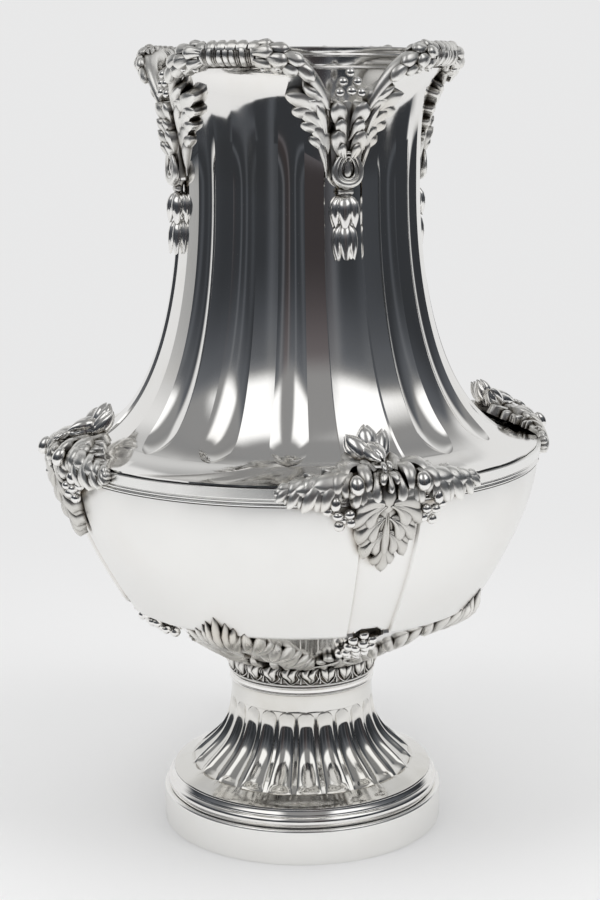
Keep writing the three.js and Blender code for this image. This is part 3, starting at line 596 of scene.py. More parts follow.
NECK_FLUTES = 3
FLUTE_SPACING = 21.5
FLUTE_HALF = 5.8
FLUTE_DEPTH = 2.1
FLUTE_START = 0.2
PENDANT_STRIP = 8.6
PENDANT_STRIP_EDGE = 0.5
PENDANT_STRIP_DEPTH = 0.9
NECK_CREASE = 17
FLUTE_THINS = (1.0, 1.6)
FLUTE_THINNED = 0.97
FLUTE_ENDS = (1.86, 1.98)
FLUTE_COLUMNS = (-1, -0.97, -0.9, -0.78, -0.6, -0.4, -0.2, 0, 0.2, 0.4, 0.6, 0.78, 0.9, 0.97, 1)


def neck_columns():
    """For each column of the neck's grid: its angle, its share across a flute, and whether it is in one."""
    columns = []
    edge = PENDANT_STRIP + PENDANT_STRIP_EDGE
    for quarter in range(QUARTERS):
        base = quarter * QUARTER
        strip = np.concatenate([np.linspace(-PENDANT_STRIP, PENDANT_STRIP, 9), [edge]])
        columns += [(base + turn, 0.0, False) for turn in strip]
        for flute in range(NECK_FLUTES):
            centre = base + HALF_LOBE + (flute - 1) * FLUTE_SPACING
            columns += [(centre, share, True) for share in FLUTE_COLUMNS]
            if flute < NECK_FLUTES - 1:
                lands = np.linspace(centre + FLUTE_HALF, centre + FLUTE_SPACING - FLUTE_HALF, 6)[1:-1]
                columns += [(turn, 0.0, False) for turn in lands]
        columns.append((base + QUARTER - edge, 0.0, False))
    return columns


def build_neck():
    base, share, fluted = (np.array(column) for column in zip(*neck_columns()))
    rise = [(0, 0.1, 8), (0.105, 0.3, 60), (0.31, 1, 60), (1.02, 2, 40)]
    rise = np.concatenate([np.linspace(*part) for part in rise])
    at, _ = bezier(NECK_CURVE, np.clip(rise, 0, 1))
    run = run_along(at)
    start = np.interp(FLUTE_START, rise, run)
    arch = np.interp(FLUTE_START, rise, at[:, 0]) * math.radians(FLUTE_HALF)
    share_in = np.clip((run - start + arch * 0.5) / (arch * 1.6), 0, 1)
    round_end = np.sqrt(np.clip(1 - (1 - share_in) ** 2, 0, 1))
    open_half = FLUTE_HALF * np.maximum(round_end, 0.03)
    turn = base + np.where(fluted, share, 0) * open_half[:, None]
    fade = 1 - smooth(*FLUTE_ENDS, rise)
    shallow = 1 - FLUTE_THINNED * smooth(*FLUTE_THINS, rise)
    hollow = np.where(fluted, 1 - share**2, 0)
    depth = FLUTE_DEPTH * hollow * (round_end * fade * shallow)[:, None]
    strip = 1 - smooth(PENDANT_STRIP, PENDANT_STRIP + PENDANT_STRIP_EDGE, from_mount(base))
    depth = depth + PENDANT_STRIP_DEPTH * strip * (smooth(0.05, 0.15, rise) * fade)[:, None]
    at, out = neck_surface(turn, rise[:, None])
    outer = at - out * depth[..., None]
    inner = (at - out * (depth + NECK_WALL)[..., None])[::-3]
    inner = np.concatenate([inner, outer[:1] - [[[4.8, SHOULDER_EDGE]]]])
    flange = outer[:1] - [[[0, SHOULDER_EDGE]]]
    rows = np.concatenate([flange, outer, inner])
    turns = np.concatenate([turn[:1], turn, turn[::-3], turn[:1]])
    points = on_axis(rows[..., 0], turns, rows[..., 1])
    faces = grid_faces(*points.shape[:2], True, True)
    made = make_object("neck_shell", points, faces, POLISHED, NECK_CREASE)
    place(made, "vase", "polished_silver", "neck")


# Cast ornament: closed bodies drawn on a skin, with across, along and height in millimetres.
SKIN_DEPTH = -1.0
FAN_VEINS = 3
FAN_COLUMNS = 4 * FAN_VEINS
FAN_ROWS = 16
PETAL_COLUMNS = 9
CAST_CREASE = 48


def along_path(points, steps):
    """A smooth path through the given points."""
    points = np.asarray(points, float)
    ends = np.concatenate([[2 * points[0] - points[1]], points, [2 * points[-1] - points[-2]]])
    t = np.linspace(0, len(points) - 1, steps)
    span = np.minimum(t.astype(int), len(points) - 2)
    s = (t - span)[:, None]
    a, b, c, d = ends[span], ends[span + 1], ends[span + 2], ends[span + 3]
    return 0.5 * (2 * b + (c - a) * s + (2 * a - 5 * b + 4 * c - d) * s**2 + (3 * b - a - 3 * c + d) * s**3)


def unit(vectors):
    return vectors / np.maximum(np.linalg.norm(vectors, axis=-1, keepdims=True), 1e-9)


class Casting:
    """Collects the closed bodies of one cast piece."""

    def __init__(self):
        self.points = []
        self.faces = []
        self.bright = []
        self.count = 0

    def add(self, points, faces, bright=0):
        """Takes a body in; bright bodies get the burnished finish."""
        points = np.asarray(points, float).reshape(-1, 3)
        self.points.append(points)
        self.faces += [tuple(int(i) + self.count for i in face) for face in faces]
        self.bright += [bright] * len(faces)
        self.count += len(points)

    def blade(self, top):
        """A body under a grid of points, down to below the skin."""
        rows, columns = top.shape[:2]
        under = top.copy()
        under[..., 2] = SKIN_DEPTH
        lower = rows * columns
        quads = grid_faces(rows, columns, False, False)
        rim = [np.arange(columns - 1), np.arange(rows - 1) * columns + columns - 1]
        rim += [lower - 1 - np.arange(columns - 1), (rows - 1 - np.arange(rows - 1)) * columns]
        rim = np.concatenate(rim)
        following = np.roll(rim, -1)
        walls = np.stack([rim, rim + lower, following + lower, following], -1)
        faces = np.concatenate([quads, quads[:, ::-1] + lower, walls])
        self.add(np.concatenate([top.reshape(-1, 3), under.reshape(-1, 3)]), faces)

    def leaf(self, root, tip, share, aside, bend, lift, relief):
        """A blade from root to tip, at shares of its length; lift is its height at root, middle and tip."""
        root, tip = np.asarray(root, float), np.asarray(tip, float)
        ahead = unit(tip - root)
        aside = aside + bend * 4 * share * (1 - share)
        flat = root + (tip - root) * share[..., None] + np.array([-ahead[1], ahead[0]]) * aside[..., None]
        height = (1 - share) ** 2 * lift[0] + 2 * share * (1 - share) * lift[1] + share**2 * lift[2]
        self.blade(np.concatenate([flat, (height + relief)[..., None]], -1))

    def fan(
        self, root, tip, half, fingers, lift, bend=0,
        cup=1, curl=1.8, fall=0.3, taper=0.15, vein=0.06, waist=0.4,
    ):
        """A leaf lobe with rounded finger tips."""
        phase = np.arange(fingers * FAN_COLUMNS + 1) / FAN_COLUMNS
        across = 2 * phase / fingers - 1
        within = np.abs(2 * np.mod(phase, 1) - 1)
        u = (np.linspace(0, 1, FAN_ROWS) ** 0.85)[:, None]
        end = (1 - fall * np.abs(across) ** 1.8) * (1 - 0.2 * within**3)
        wide = half * (waist + (1 - waist) * np.sin(np.minimum(u / 0.7, 1) * math.pi / 2))
        wide = wide * (1 - taper * smooth(0.7, 1, u))
        ripple = 0.5 - 0.5 * np.cos(2 * math.pi * FAN_VEINS * phase)
        relief = -cup * across**2 * u - 1.1 * within**4 * smooth(0.4, 0.9, u)
        relief = relief - vein * ripple * smooth(0.05, 0.25, u) * (1 - smooth(0.8, 0.95, u))
        relief = relief - curl * np.clip((u - 0.55) / 0.45, 0, 1) ** 2.2
        self.leaf(root, tip, u * blend(1, end, u**1.5), wide * across, bend, lift, relief)

    def petal(self, root, tip, half, lift, bend=0, crown=0.9, curl=0.8, vein=0.3, waist=0.45, rows=13):
        """A leaflet with a rounded end, a crown and a middle vein."""
        across = np.linspace(-1, 1, PETAL_COLUMNS)
        u = np.sin(np.linspace(0, math.pi / 2, rows))[:, None]
        end = np.clip((u - 0.68) / 0.32, 0, 1)
        wide = half * blend(waist, 1, smooth(0, 0.68, u)) * np.sqrt(np.maximum(1 - end**2, 0.0004))
        relief = -crown * across**2 * smooth(-0.2, 0.5, u) - curl * end**2
        relief = relief - vein * bump(0, 0.2, across) * (1 - smooth(0.55, 0.85, u))
        self.leaf(root, tip, u + 0 * across, wide * across, bend, lift, relief)

    def hand(self, root, tip, fingers, opening, lift, bend=0, fall=0.2, drop=0.7, width=0.92, **petal):
        """Leaflets fanned out from one root by an angle in degrees, the middle ones longest."""
        root, tip = np.asarray(root, float), np.asarray(tip, float)
        length = np.linalg.norm(tip - root)
        heading = math.atan2(tip[1] - root[1], tip[0] - root[0])
        opening = math.radians(opening)
        half = width * length * math.tan(opening / (fingers - 1) / 2)
        for number in range(fingers):
            share = 2 * number / (fingers - 1) - 1
            turn = heading + opening / 2 * share
            far = length * (1 - fall * abs(share) ** 1.5)
            end = root + far * np.array([math.cos(turn), math.sin(turn)])
            lower = drop * abs(share)
            self.petal(root, end, half, (lift[0], lift[1] - lower, lift[2] - lower), bend, **petal)

    def both_sides(self, draw, items, **shape):
        """Draws leaves on both sides of the middle."""
        for side in (1, -1):
            for root, tip, *size, bend in items:
                draw((side * root[0], root[1]), (side * tip[0], tip[1]), *size, side * bend, **shape)

    def tube(self, path, radii, sides=10, closed=False):
        """A round cord along a path."""
        path = np.asarray(path, float)
        radii = np.broadcast_to(radii, len(path))
        ahead = unit(np.roll(path, -1, 0) - np.roll(path, 1, 0) if closed else np.gradient(path, axis=0))
        side = unit(np.cross(ahead, (0, 0, 1)))
        top = np.cross(side, ahead)
        turn = np.arange(sides) / sides * 2 * math.pi
        ring = side[:, None] * np.cos(turn)[None, :, None] + top[:, None] * np.sin(turn)[None, :, None]
        points = path[:, None] + ring * radii[:, None, None]
        faces = grid_faces(len(path), sides, True, True) if closed else capped_faces(len(path), sides)
        self.add(points, faces)

    def pod(self, root, tip, outline, ribs=0, depth=0, points=0, sides=24, turn=0, flat=1, bright=0):
        """A turned body from root to tip; outline gives (share of length, radius); ribs are petals."""
        root, tip = np.asarray(root, float), np.asarray(tip, float)
        side = unit(np.cross(tip - root, (0, 0, 1)))
        top = np.cross(side, unit(tip - root))
        outline = np.asarray(outline, float)
        angle = np.arange(sides) / sides * 2 * math.pi + turn
        dip = 1 - (np.abs(np.cos(angle * ribs / 2)) if ribs else np.ones(sides))
        share = outline[:, :1] * (1 - points * dip * smooth(0.5, 1, outline[:, :1]))
        radius = outline[:, 1:] * (1 - depth * dip**1.5)
        ring = side * np.cos(angle)[:, None] + top * (np.sin(angle) * flat)[:, None]
        body = root + (tip - root) * share[..., None] + ring * radius[..., None]
        self.add(body, capped_faces(len(outline), sides), bright)

    def ball(self, centre, radius, sides=18, squash=1.0):
        """A bright berry."""
        turn = np.linspace(-0.47 * math.pi, 0.47 * math.pi, sides // 2 + 1)
        outline = np.stack([0.5 + 0.5 * np.sin(turn), radius * np.cos(turn)], -1)
        centre = np.asarray(centre, float)
        half = np.array([0, radius * squash, 0])
        self.pod(centre - half, centre + half, outline, sides=sides, bright=1)

    def build(self, name, skin, axis, material):
        """The bodies on a skin, at an angle round the vase."""
        points = skin(np.concatenate(self.points), axis)
        made = make_object(name, points, self.faces, material, CAST_CREASE)
        made.data.materials.append(BURNISHED)
        made.data.polygons.foreach_set("material_index", self.bright)
        return made


def cast_round(places, *castings):
    """Castings at each place, each given with its name, skin, material and the CAD node it replaces."""
    for place_name, axis in places.items():
        for casting, name, skin, material, node in castings:
            made = casting.build(f"{name}_{place_name}", skin, axis, material)
            place(made, "vase", "cast_silver", *([f"{node}_{place_name}"] if node else []))


class PathSkin:
    """Local coordinates on a path of radius and height that is carried round the vase."""

    def __init__(self, path, zero, steps=600):
        self.at = along_path(path, steps)
        run = run_along(self.at)
        self.run = run - run[np.argmin(np.hypot(*(self.at - np.asarray(zero)).T))]
        ahead = unit(np.gradient(self.at, axis=0))
        self.out = np.stack([ahead[:, 1], -ahead[:, 0]], -1)

    def __call__(self, local, axis):
        radius, height, out_radius, out_height = (
            np.interp(local[:, 1], self.run, column) for column in (*self.at.T, *self.out.T)
        )
        turn = axis + np.degrees(local[:, 0] / radius)
        return on_axis(radius + local[:, 2] * out_radius, turn, height + local[:, 2] * out_height)


# Shoulder mounts: hanging acanthus, curled leaves, wings, berries and tulips.
SHOULDER_PATH = [
    *((103, 137.5), (106.8, 147.5), (111.5, 158), (116, 168.5), (119.3, 180), (121.2, 190), (122.6, 197)),
    *((120.6, 202.2), (115, 204.3), (108.5, 206), (101.5, 209), (95.5, 213), (90.8, 218)),
    *((87.5, 223), (85, 228)),
]
MOUNT_NOSE = (122.6, 197)
FRONT_MOUNT_TURN = -2.2
MOUNT_AXES = {**AXES, "front": FRONT_MOUNT_TURN}
BUNCH_BERRY = 2.45
# Berries on each side of a mount: across, along and height.
BUNCH = [
    *((23.6, -2.2, 4.6), (22.4, -7.2, 5.0), (21.4, -12.6, 4.2), (17.4, -6.2, 5.6)),
    *((16.4, -10.8, 4.8), (26.6, -5.6, 3.0), (19.4, -10.0, 2.6)),
]
# Share of a flower's length, and its radius there.
TULIP = [(0, 0.3), (0.08, 0.62), (0.22, 0.9), (0.4, 1), (0.58, 0.97), (0.75, 0.82), (0.9, 0.55), (1, 0.25)]
TULIP += [(0.93, 0.15), (0.8, 0.1)]


def hanging_leaf(made):
    made.petal((0, 0), (0, -33.5), 10.5, (4.6, 4.4, 0.8), crown=2.0, vein=0, waist=0.7)
    made.petal((0, 10), (0, -9), 5.0, (4.4, 6.4, 4.6), crown=1.4, vein=0.5, waist=0.8)
    made.petal((0, 1), (0.1, -33), 2.7, (4.4, 5.2, 4.2), crown=1.5, vein=0.5, waist=0.1)
    made.hand((0, -24), (0.2, -38.0), 3, 46, (3.4, 5.8, 4.4), crown=1.7, curl=1.2, drop=0.5, width=1.0)
    hands = (
        ((1.4, -17), (9.6, -29.8), 3, 44, (3.8, 6.6, 5.2), 1.8),
        ((1.8, -10), (12.8, -21.8), 3, 44, (4.6, 7.8, 6.2), 2.2),
        ((2.0, -3), (15.8, -13.4), 3, 46, (5.6, 9.0, 7.2), 2.4),
    )
    made.both_sides(made.hand, hands, crown=1.8, curl=1.4, drop=0.5, width=1.0)


def leaf_rolls(made):
    """Leaves that roll over a ball on each side of the cup."""
    hands = (
        ((11.5, 4), (13.6, -5.4), 4, 92, (6.0, 8.4, 6.6), 0.4),
        ((16, 7), (25.4, 1.2), 3, 64, (5.6, 8.2, 5.6), 1.2),
    )
    made.both_sides(made.hand, hands, crown=1.4, curl=1.8, drop=0.8, width=0.8)
    petals = (
        ((4.2, 7), (6.4, -3.4), 2.6, (5.0, 8.0, 6.4), 0.6),
        ((5.0, 12), (10.6, 1.4), 3.0, (4.4, 10.2, 7.6), 2.0),
        ((6.0, 13), (20.8, 6.0), 3.6, (4.0, 9.6, 7.0), 3.0),
        ((5, 12), (9.6, 21.0), 2.8, (4.6, 6.0, 4.6), -0.8),
    )
    made.both_sides(made.petal, petals, crown=1.3, curl=1.2)
    for side in (1, -1):
        made.ball((side * 14.8, 3.0, 8.0), 3.2, 24, 0.7)


def wings(made):
    plate = (((12, 8), (47, 1.0), 6.2, (2.4, 3.2, 1.6), 0),)
    made.both_sides(made.petal, plate, crown=1.2, vein=0, waist=0.8, curl=0.4)
    hands = (
        ((19, 8), (29.6, -5.0), 3, 36, (3.4, 6.8, 5.8), 1.4),
        ((26, 7.5), (37.8, -5.6), 3, 36, (2.8, 6.2, 5.4), 1.4),
        ((34, 6), (44.4, -4.0), 3, 36, (2.0, 5.0, 4.6), 1.2),
        ((40, 4), (49.6, -1.2), 3, 40, (1.6, 4.0, 3.8), 0.8),
        ((12, 9), (16.8, 20.6), 3, 48, (2.6, 5.2, 4.2), -0.8),
        ((19, 9), (26.0, 15.4), 3, 46, (2.4, 4.8, 3.8), -0.8),
        ((27, 8), (35.4, 10.6), 3, 44, (2.0, 4.2, 3.4), -0.8),
        ((35, 5), (43.0, 5.6), 3, 40, (1.8, 3.6, 3.0), -0.6),
    )
    made.both_sides(made.hand, hands, crown=1.0, curl=1.0)
    petals = (
        ((15, 8), (33.0, 3.6), 2.6, (4.6, 6.8, 5.2), -0.8),
        ((25, 6.4), (41.5, 2.2), 2.3, (3.6, 5.4, 4.4), -0.6),
        ((43, 3.0), (50.2, 1.2), 2.0, (2.0, 3.6, 3.0), 0),
    )
    made.both_sides(made.petal, petals, crown=1.0)


def berry_bunches(made):
    for side in (1, -1):
        for across, along, height in BUNCH:
            made.ball((side * across, along, height), BUNCH_BERRY)


def tulip(made, root, tip, radius, turn):
    """A closed flower: three smooth petals over an inner bud."""
    outline = [(share, radius * wide) for share, wide in TULIP]
    made.pod(root, tip, outline, ribs=3, depth=0.2, points=0.16, sides=48, turn=turn, bright=1)
    inner = [(share, wide * 0.9) for share, wide in outline]
    made.pod(root, tip, inner, ribs=3, depth=0.16, points=0.1, sides=42, turn=turn + math.pi / 3, bright=1)


def flowers(made):
    tulip(made, (-2.4, 27.0, 6.6), (-0.4, 8.4, 8.4), 5.4, 0.5)
    tulip(made, (-4.0, 17.0, 4.4), (-10.4, 34.0, 9.4), 5.4, 1.5)
    tulip(made, (-1.6, 22.0, 5.0), (-1.6, 40.0, 10.4), 5.2, 0.2)
    tulip(made, (2.6, 19.0, 4.0), (6.4, 37.0, 9.4), 4.4, 1.0)
    made.petal((-8.6, 7.5), (-12.0, 27.0), 2.9, (4.0, 6.0, 5.0), 0.8)
    made.petal((7.0, 8.0), (8.6, 26.0), 2.7, (4.0, 5.8, 4.4), -0.8)
    made.both_sides(made.petal, (((4.6, 7.0), (7.6, 17.0), 2.4, (5.6, 8.0, 6.0), -0.6),))
    made.hand((0, 5.6), (0, 0.8), 3, 130, (7.6, 9.6, 9.2), crown=0.8, width=0.4, fall=0.0)
    for across, along in ((-1.6, 6.6), (1.2, 7.0)):
        made.ball((across, along, 8.6), 1.25, 12)


def build_shoulder_mounts():
    skin = PathSkin(SHOULDER_PATH, MOUNT_NOSE)
    leaf = Casting()
    hanging_leaf(leaf)
    made = Casting()
    for part in (leaf_rolls, wings, berry_bunches, flowers):
        part(made)
    mounts = (made, "shoulder_leaves", skin, CHASED, "shoulder_mount")
    cast_round(MOUNT_AXES, (leaf, "hanging_leaf", skin, DULLED, None), mounts)


# Pendants: berries, paired leaves, a looped drop and two husks, with a leaf up each side.
PENDANT_FLOOR = 286
PENDANT_TOP = 392
PENDANT_BERRY = 2.2


class NeckSkin:
    """Local coordinates on the neck: across from a mount's axis, height level and rise off the sheet."""

    def __init__(self):
        self.turns = np.linspace(0, HALF_LOBE, 46)
        self.levels = np.linspace(PENDANT_FLOOR, PENDANT_TOP, 160)
        rise = np.concatenate([np.linspace(0.5, 1, 80), np.linspace(1.01, 2, 120)])
        self.radius = np.zeros((len(self.turns), len(self.levels)))
        self.tilt = np.zeros_like(self.radius)
        for row, turn in enumerate(self.turns):
            at, out = neck_surface(turn, rise)
            self.radius[row] = np.interp(self.levels, at[:, 1], at[:, 0])
            self.tilt[row] = np.interp(self.levels, at[:, 1], np.arctan2(out[:, 1], out[:, 0]))

    def look_up(self, table, turn, level):
        x = np.clip(np.abs(turn) / HALF_LOBE * (len(self.turns) - 1), 0, len(self.turns) - 1.001)
        y = (level - PENDANT_FLOOR) / (PENDANT_TOP - PENDANT_FLOOR) * (len(self.levels) - 1)
        y = np.clip(y, 0, len(self.levels) - 1.001)
        i, j = x.astype(int), y.astype(int)
        u, v = x - i, y - j
        low = table[i, j] * (1 - v) + table[i, j + 1] * v
        high = table[i + 1, j] * (1 - v) + table[i + 1, j + 1] * v
        return low * (1 - u) + high * u

    def __call__(self, local, axis):
        turn = np.degrees(local[:, 0] / (NECK_RADIUS + 3))
        radius = self.look_up(self.radius, turn, local[:, 1])
        tilt = self.look_up(self.tilt, turn, local[:, 1])
        height = local[:, 2]
        return on_axis(radius + height * np.cos(tilt), axis + turn, local[:, 1] + height * np.sin(tilt))


def paired_leaves(made, level, half, rise, lift):
    """Two leaflets side by side that curl outward at their tops."""
    leaf = (((half * 0.1, level - rise * 1.25), (half * 0.74, level), half * 0.42, lift, -0.6),)
    made.both_sides(made.petal, leaf, crown=1.4, curl=1.2, vein=0.5, waist=0.5, rows=16)


def husk(made, top, foot, radius, lift, petals):
    """A bell of pointed petals."""
    outline = [(0, 0.4), (0.08, 0.72), (0.22, 0.96), (0.4, 1.06), (0.6, 1.04), (0.8, 0.92), (1, 0.76)]
    outline = [(share, radius * wide) for share, wide in outline + [(0.96, 0.6), (0.6, 0.3)]]
    made.pod((0, top, lift), (0, foot, lift), outline, petals, 0.22, 0.34, 90, math.pi / 2, 0.9, 1)


def pendant_sides(made):
    hands = (
        ((9.2, 345), (16.4, 359.6), 3, 34, (1.4, 4.0, 4.4), 1.2),
        ((10.0, 352), (22.4, 366.6), 3, 32, (1.8, 5.2, 5.8), 1.8),
        ((11.2, 359), (27.6, 374.0), 3, 32, (2.2, 6.2, 6.8), 2.2),
        ((11.0, 364), (20.0, 378.6), 3, 32, (2.6, 6.4, 6.6), 1.8),
    )
    made.both_sides(made.hand, hands, crown=1.2, curl=1.6, width=1.25, fall=0.3)
    petals = (
        ((9.0, 337), (12.6, 351), 1.7, (0.8, 3.0, 3.2), 0.6),
        ((9.6, 352), (14.6, 369.0), 1.9, (2.4, 5.4, 6.0), 0.8),
    )
    made.both_sides(made.petal, petals, crown=1.0)
    for side in (1, -1):
        strap = [(9.1, 369, 2.4), (9.4, 362, 1.6), (9.5, 352, 1.0), (9.4, 342, 0.5), (8.6, 334, 0.0)]
        strap = along_path([(side * x, y, h) for x, y, h in strap], 24)
        made.tube(strap, np.linspace(1.9, 0.6, 24), 12)


def build_pendants():
    skin = NeckSkin()
    made = Casting()
    rows = (((0,), 382.4, 4.6), ((-3.2, 3.3), 378.2, 4.4), ((0.2,), 374.2, 5.6), ((-4.7, 5.0), 373.4, 4.6))
    for places, level, lift in rows:
        for across in places:
            made.ball((across, level, lift), PENDANT_BERRY, 20)
    made.fan((0, 333), (0, 369), 8.0, 1, (3.2, 4.6, 3.4), waist=0.75, fall=0.2, cup=2.6, taper=0.1, vein=0)
    paired_leaves(made, 369.2, 8.6, 12, (3.4, 6.4, 8.4))
    paired_leaves(made, 361.8, 6.4, 9, (3.8, 7.2, 9.0))
    paired_leaves(made, 356.4, 7.8, 12, (3.4, 6.8, 9.0))
    paired_leaves(made, 350.6, 5.0, 8, (4.2, 7.4, 9.0))
    turn = np.linspace(0, 2 * math.pi, 60, endpoint=False)
    for half_across, half_along, lift, thick in ((5.9, 7.5, 4.9, 1.5), (3.9, 5.5, 5.2, 0.9)):
        narrow = 1 - 0.2 * np.sin(turn)
        along = 338.6 + half_along * np.sin(turn)
        path = np.stack([half_across * np.cos(turn) * narrow, along, lift + 0 * turn], -1)
        made.tube(path, thick * (1 - 0.4 * np.sin(turn)), 12, True)
    drop = [(0, 0.1), (0.3, 1.2), (0.6, 2.1), (0.85, 1.9), (1, 0.6)]
    made.pod((0, 343.6, 4.6), (0, 334.0, 4.6), drop, sides=20, flat=0.6)
    plate = [(0, 2), (0.2, 5.6), (0.5, 6.4), (0.8, 5.0), (1, 3)]
    made.pod((0, 347, 2.6), (0, 329.5, 2.6), plate, sides=28, flat=0.36)
    ring = [(0, 1.0), (0.06, 1.5), (0.5, 1.7), (0.94, 1.5), (1, 1.0)]
    made.pod((-3.7, 327.6, 2.4), (3.7, 327.6, 2.4), ring, sides=20)
    cap = [(0, 4.4), (0.3, 2.8), (0.6, 2.6), (1, 3.2)]
    made.pod((0, 331.4, 1.6), (0, 324, 1.6), cap, sides=24, flat=0.8)
    husk(made, 326.0, 310.6, 6.8, 1.2, 5)
    husk(made, 312.8, 295.6, 5.8, 0.9, 5)
    pendant_sides(made)
    cast_round(AXES, (made, "pendant_leaves", skin, CHASED, "pendant"))


# Bottom of the bowl: big leaves under the lobes, sprigs, berries and a band of water leaves.
LEAF_TIPS = 24
LEAF_TIP_RADIUS = 37
HEAP_BERRY = 2.5
# Berries in a heap: across, out from the vase's axis, and level.
HEAP = [
    *((0, 85.2, 120.4), (-4.7, 84.0, 117.8), (4.6, 84.0, 117.4), (-0.2, 84.6, 115.8), (-5.6, 79.6, 113.4)),
    *((-2.6, 80.4, 112.8), (2.6, 80.4, 112.6), (6.0, 79.0, 112.6), (0, 75.0, 109.0), (-5.2, 74.0, 108.8)),
    *((5.0, 74.0, 108.4), (-7.6, 70.0, 107.2), (-2.6, 69.0, 106.0), (2.4, 69.0, 105.8), (7.4, 70.0, 106.8)),
]


def under_path():
    low, _ = bezier(UNDER_CURVE, np.linspace(0, 1, 7))
    high, _ = bezier(BELLY_CURVE, np.linspace(0.06, 0.6, 8))
    return np.concatenate([low, high])


def build_base_leaves():
    skin = PathSkin(under_path(), UNDER_CURVE[-1])
    made = Casting()
    made.petal((0, -54), (0, -8), 11.0, (0.6, 1.6, 0.2), crown=1.2, vein=0, waist=0.8, curl=0)
    made.hand((0, -26), (-0.6, 12.0), 5, 34, (3.0, 10.0, 0.5), crown=1.7, curl=0.3, drop=0.25, width=0.9)
    hands = (
        ((2.0, -12), (8.2, 6.0), 3, 30, (2.6, 7.0, 0.5), -0.6),
        ((2.6, -29), (17.0, 2.6), 4, 38, (2.0, 8.6, 0.5), -1.4),
        ((5.0, -46), (25.2, -16.0), 4, 38, (1.8, 8.6, 0.5), -1.6),
        ((9.0, -54), (27.6, -34.0), 4, 40, (1.6, 7.6, 0.5), -1.2),
        ((14, -58), (29.4, -46.0), 3, 36, (1.4, 6.0, 0.5), -0.8),
    )
    made.both_sides(made.hand, hands, crown=1.7, curl=0.3, drop=0.4, width=0.82)
    starts = (3, 9, 15, 21, 27)
    petals = [((across, -61.5), (across + 3.2, -50.5), 2.3, (1.2, 5.4, 0.6), -0.6) for across in starts]
    made.both_sides(made.petal, petals, crown=1.1, curl=0.3)
    cast_round(LOBES, (made, "under_leaves", skin, STAINED_SHADED_CAST, "base_leaf"))


def upright(local, axis):
    """Local coordinates in a heap of berries."""
    return on_axis(local[:, 1], axis + np.degrees(local[:, 0] / NICHE_OUT), local[:, 2])


def build_base_sprigs():
    skin = PathSkin(under_path(), UNDER_CURVE[-1])
    sprig = Casting()
    leaves = (
        ((3, -51), (10.8, -43.5), 2.2, (1.8, 3.8, 3.0), -0.8),
        ((1, -47), (8.8, -36.5), 2.4, (1.8, 4.0, 3.2), -0.8),
        ((6, -57), (14.4, -50.0), 2.1, (1.6, 3.4, 2.8), -0.6),
    )
    sprig.both_sides(sprig.petal, leaves)
    sprig.petal((0, -57), (0, -42.0), 4.0, (1.8, 4.0, 3.2))
    for side in (1, -1):
        stem = [(-3, -38, 2.6), (3, -46, 3.0), (9, -53, 2.4), (15.5, -57.5, 1.6)]
        stem = along_path([(side * across, along, height) for across, along, height in stem], 20)
        sprig.tube(stem, np.linspace(1.1, 0.5, 20), 10)
    berries = Casting()
    for across, out, level in HEAP:
        berries.ball((across, out, level), HEAP_BERRY, 20)
    sprigs = (sprig, "sprig", skin, STAINED_SHADED_CAST, "base_sprig")
    cast_round(AXES, sprigs, (berries, "berries", upright, CHASED, "base_berries"))


def build_leaf_tips():
    low, high, wide = extent("leaf_tip_band")
    outline = [[36.6, low], [37.6, low + 0.1]]
    outline += arc((37.3, low + 0.75), 0.6, -60, 80, 5)
    outline += [[36.9, low + 1.5], [36.7, low + 5], [wide - 1.4, high - 0.5], [wide - 1.4, high]]
    outline += [[34, high], [34, low]]
    place(turned_body("leaf_tip_ring", outline, CHASED), "vase", "cast_silver")
    root = (36.9, low + 0.4)
    skin = PathSkin([root, (36.8, low + 4), (37.1, low + 7), (wide - 1.3, high - 0.1)], root, 200)
    pitch = LEAF_TIP_RADIUS * 2 * math.pi / LEAF_TIPS
    top = high - low - 0.4
    made = Casting()
    lobe = [(0, 0.9), (0.1, 1.5), (0.3, 1.95), (0.55, 1.8), (0.8, 1.1), (0.95, 0.5), (1, 0.2)]
    leaf = {"waist": 0.9, "fall": 0.6, "cup": 0, "curl": 0.3, "vein": 0}
    for number in range(LEAF_TIPS):
        centre = number * pitch
        made.fan((centre, top), (centre, 1.4), 3.9, 1, (0.6, 0.9, 0.9), **leaf)
        for side in (1, -1):
            made.pod((centre + side * 2.4, top + 0.5, 0.9), (centre + side * 0.5, 1.9, 0.9), lobe, sides=20)
        rim = [(-4.1, top), (-4.2, 5.4), (-3.2, 3.0), (0, 0.7), (3.2, 3.0), (4.2, 5.4), (4.1, top)]
        rim = along_path([(centre + x, y, 0.8) for x, y in rim], 30)
        made.tube(rim, 0.42, 8)
        dart = centre + pitch / 2
        made.tube(np.array([(dart, top, 0.4), (dart, 4.0, 0.7), (dart, 1.2, 0.7)]), (0.3, 0.45, 0.6), 8)
    shown = made.build("water_leaves", skin, 0, STAINED_SHADED_CAST)
    place(shown, "vase", "cast_silver", "leaf_tip_band")


# Mouth borders: a roll on each lobe with bands in the middle and leaves towards its ends.
BORDER_HALF_TURN = 37
LINE_STEP = 0.05


def border_line(turn, axis):
    """Points on the middle line of a border, at angles from its lobe's centre."""
    radius, level = border_centre(turn)
    return on_axis(radius, axis + turn, level)


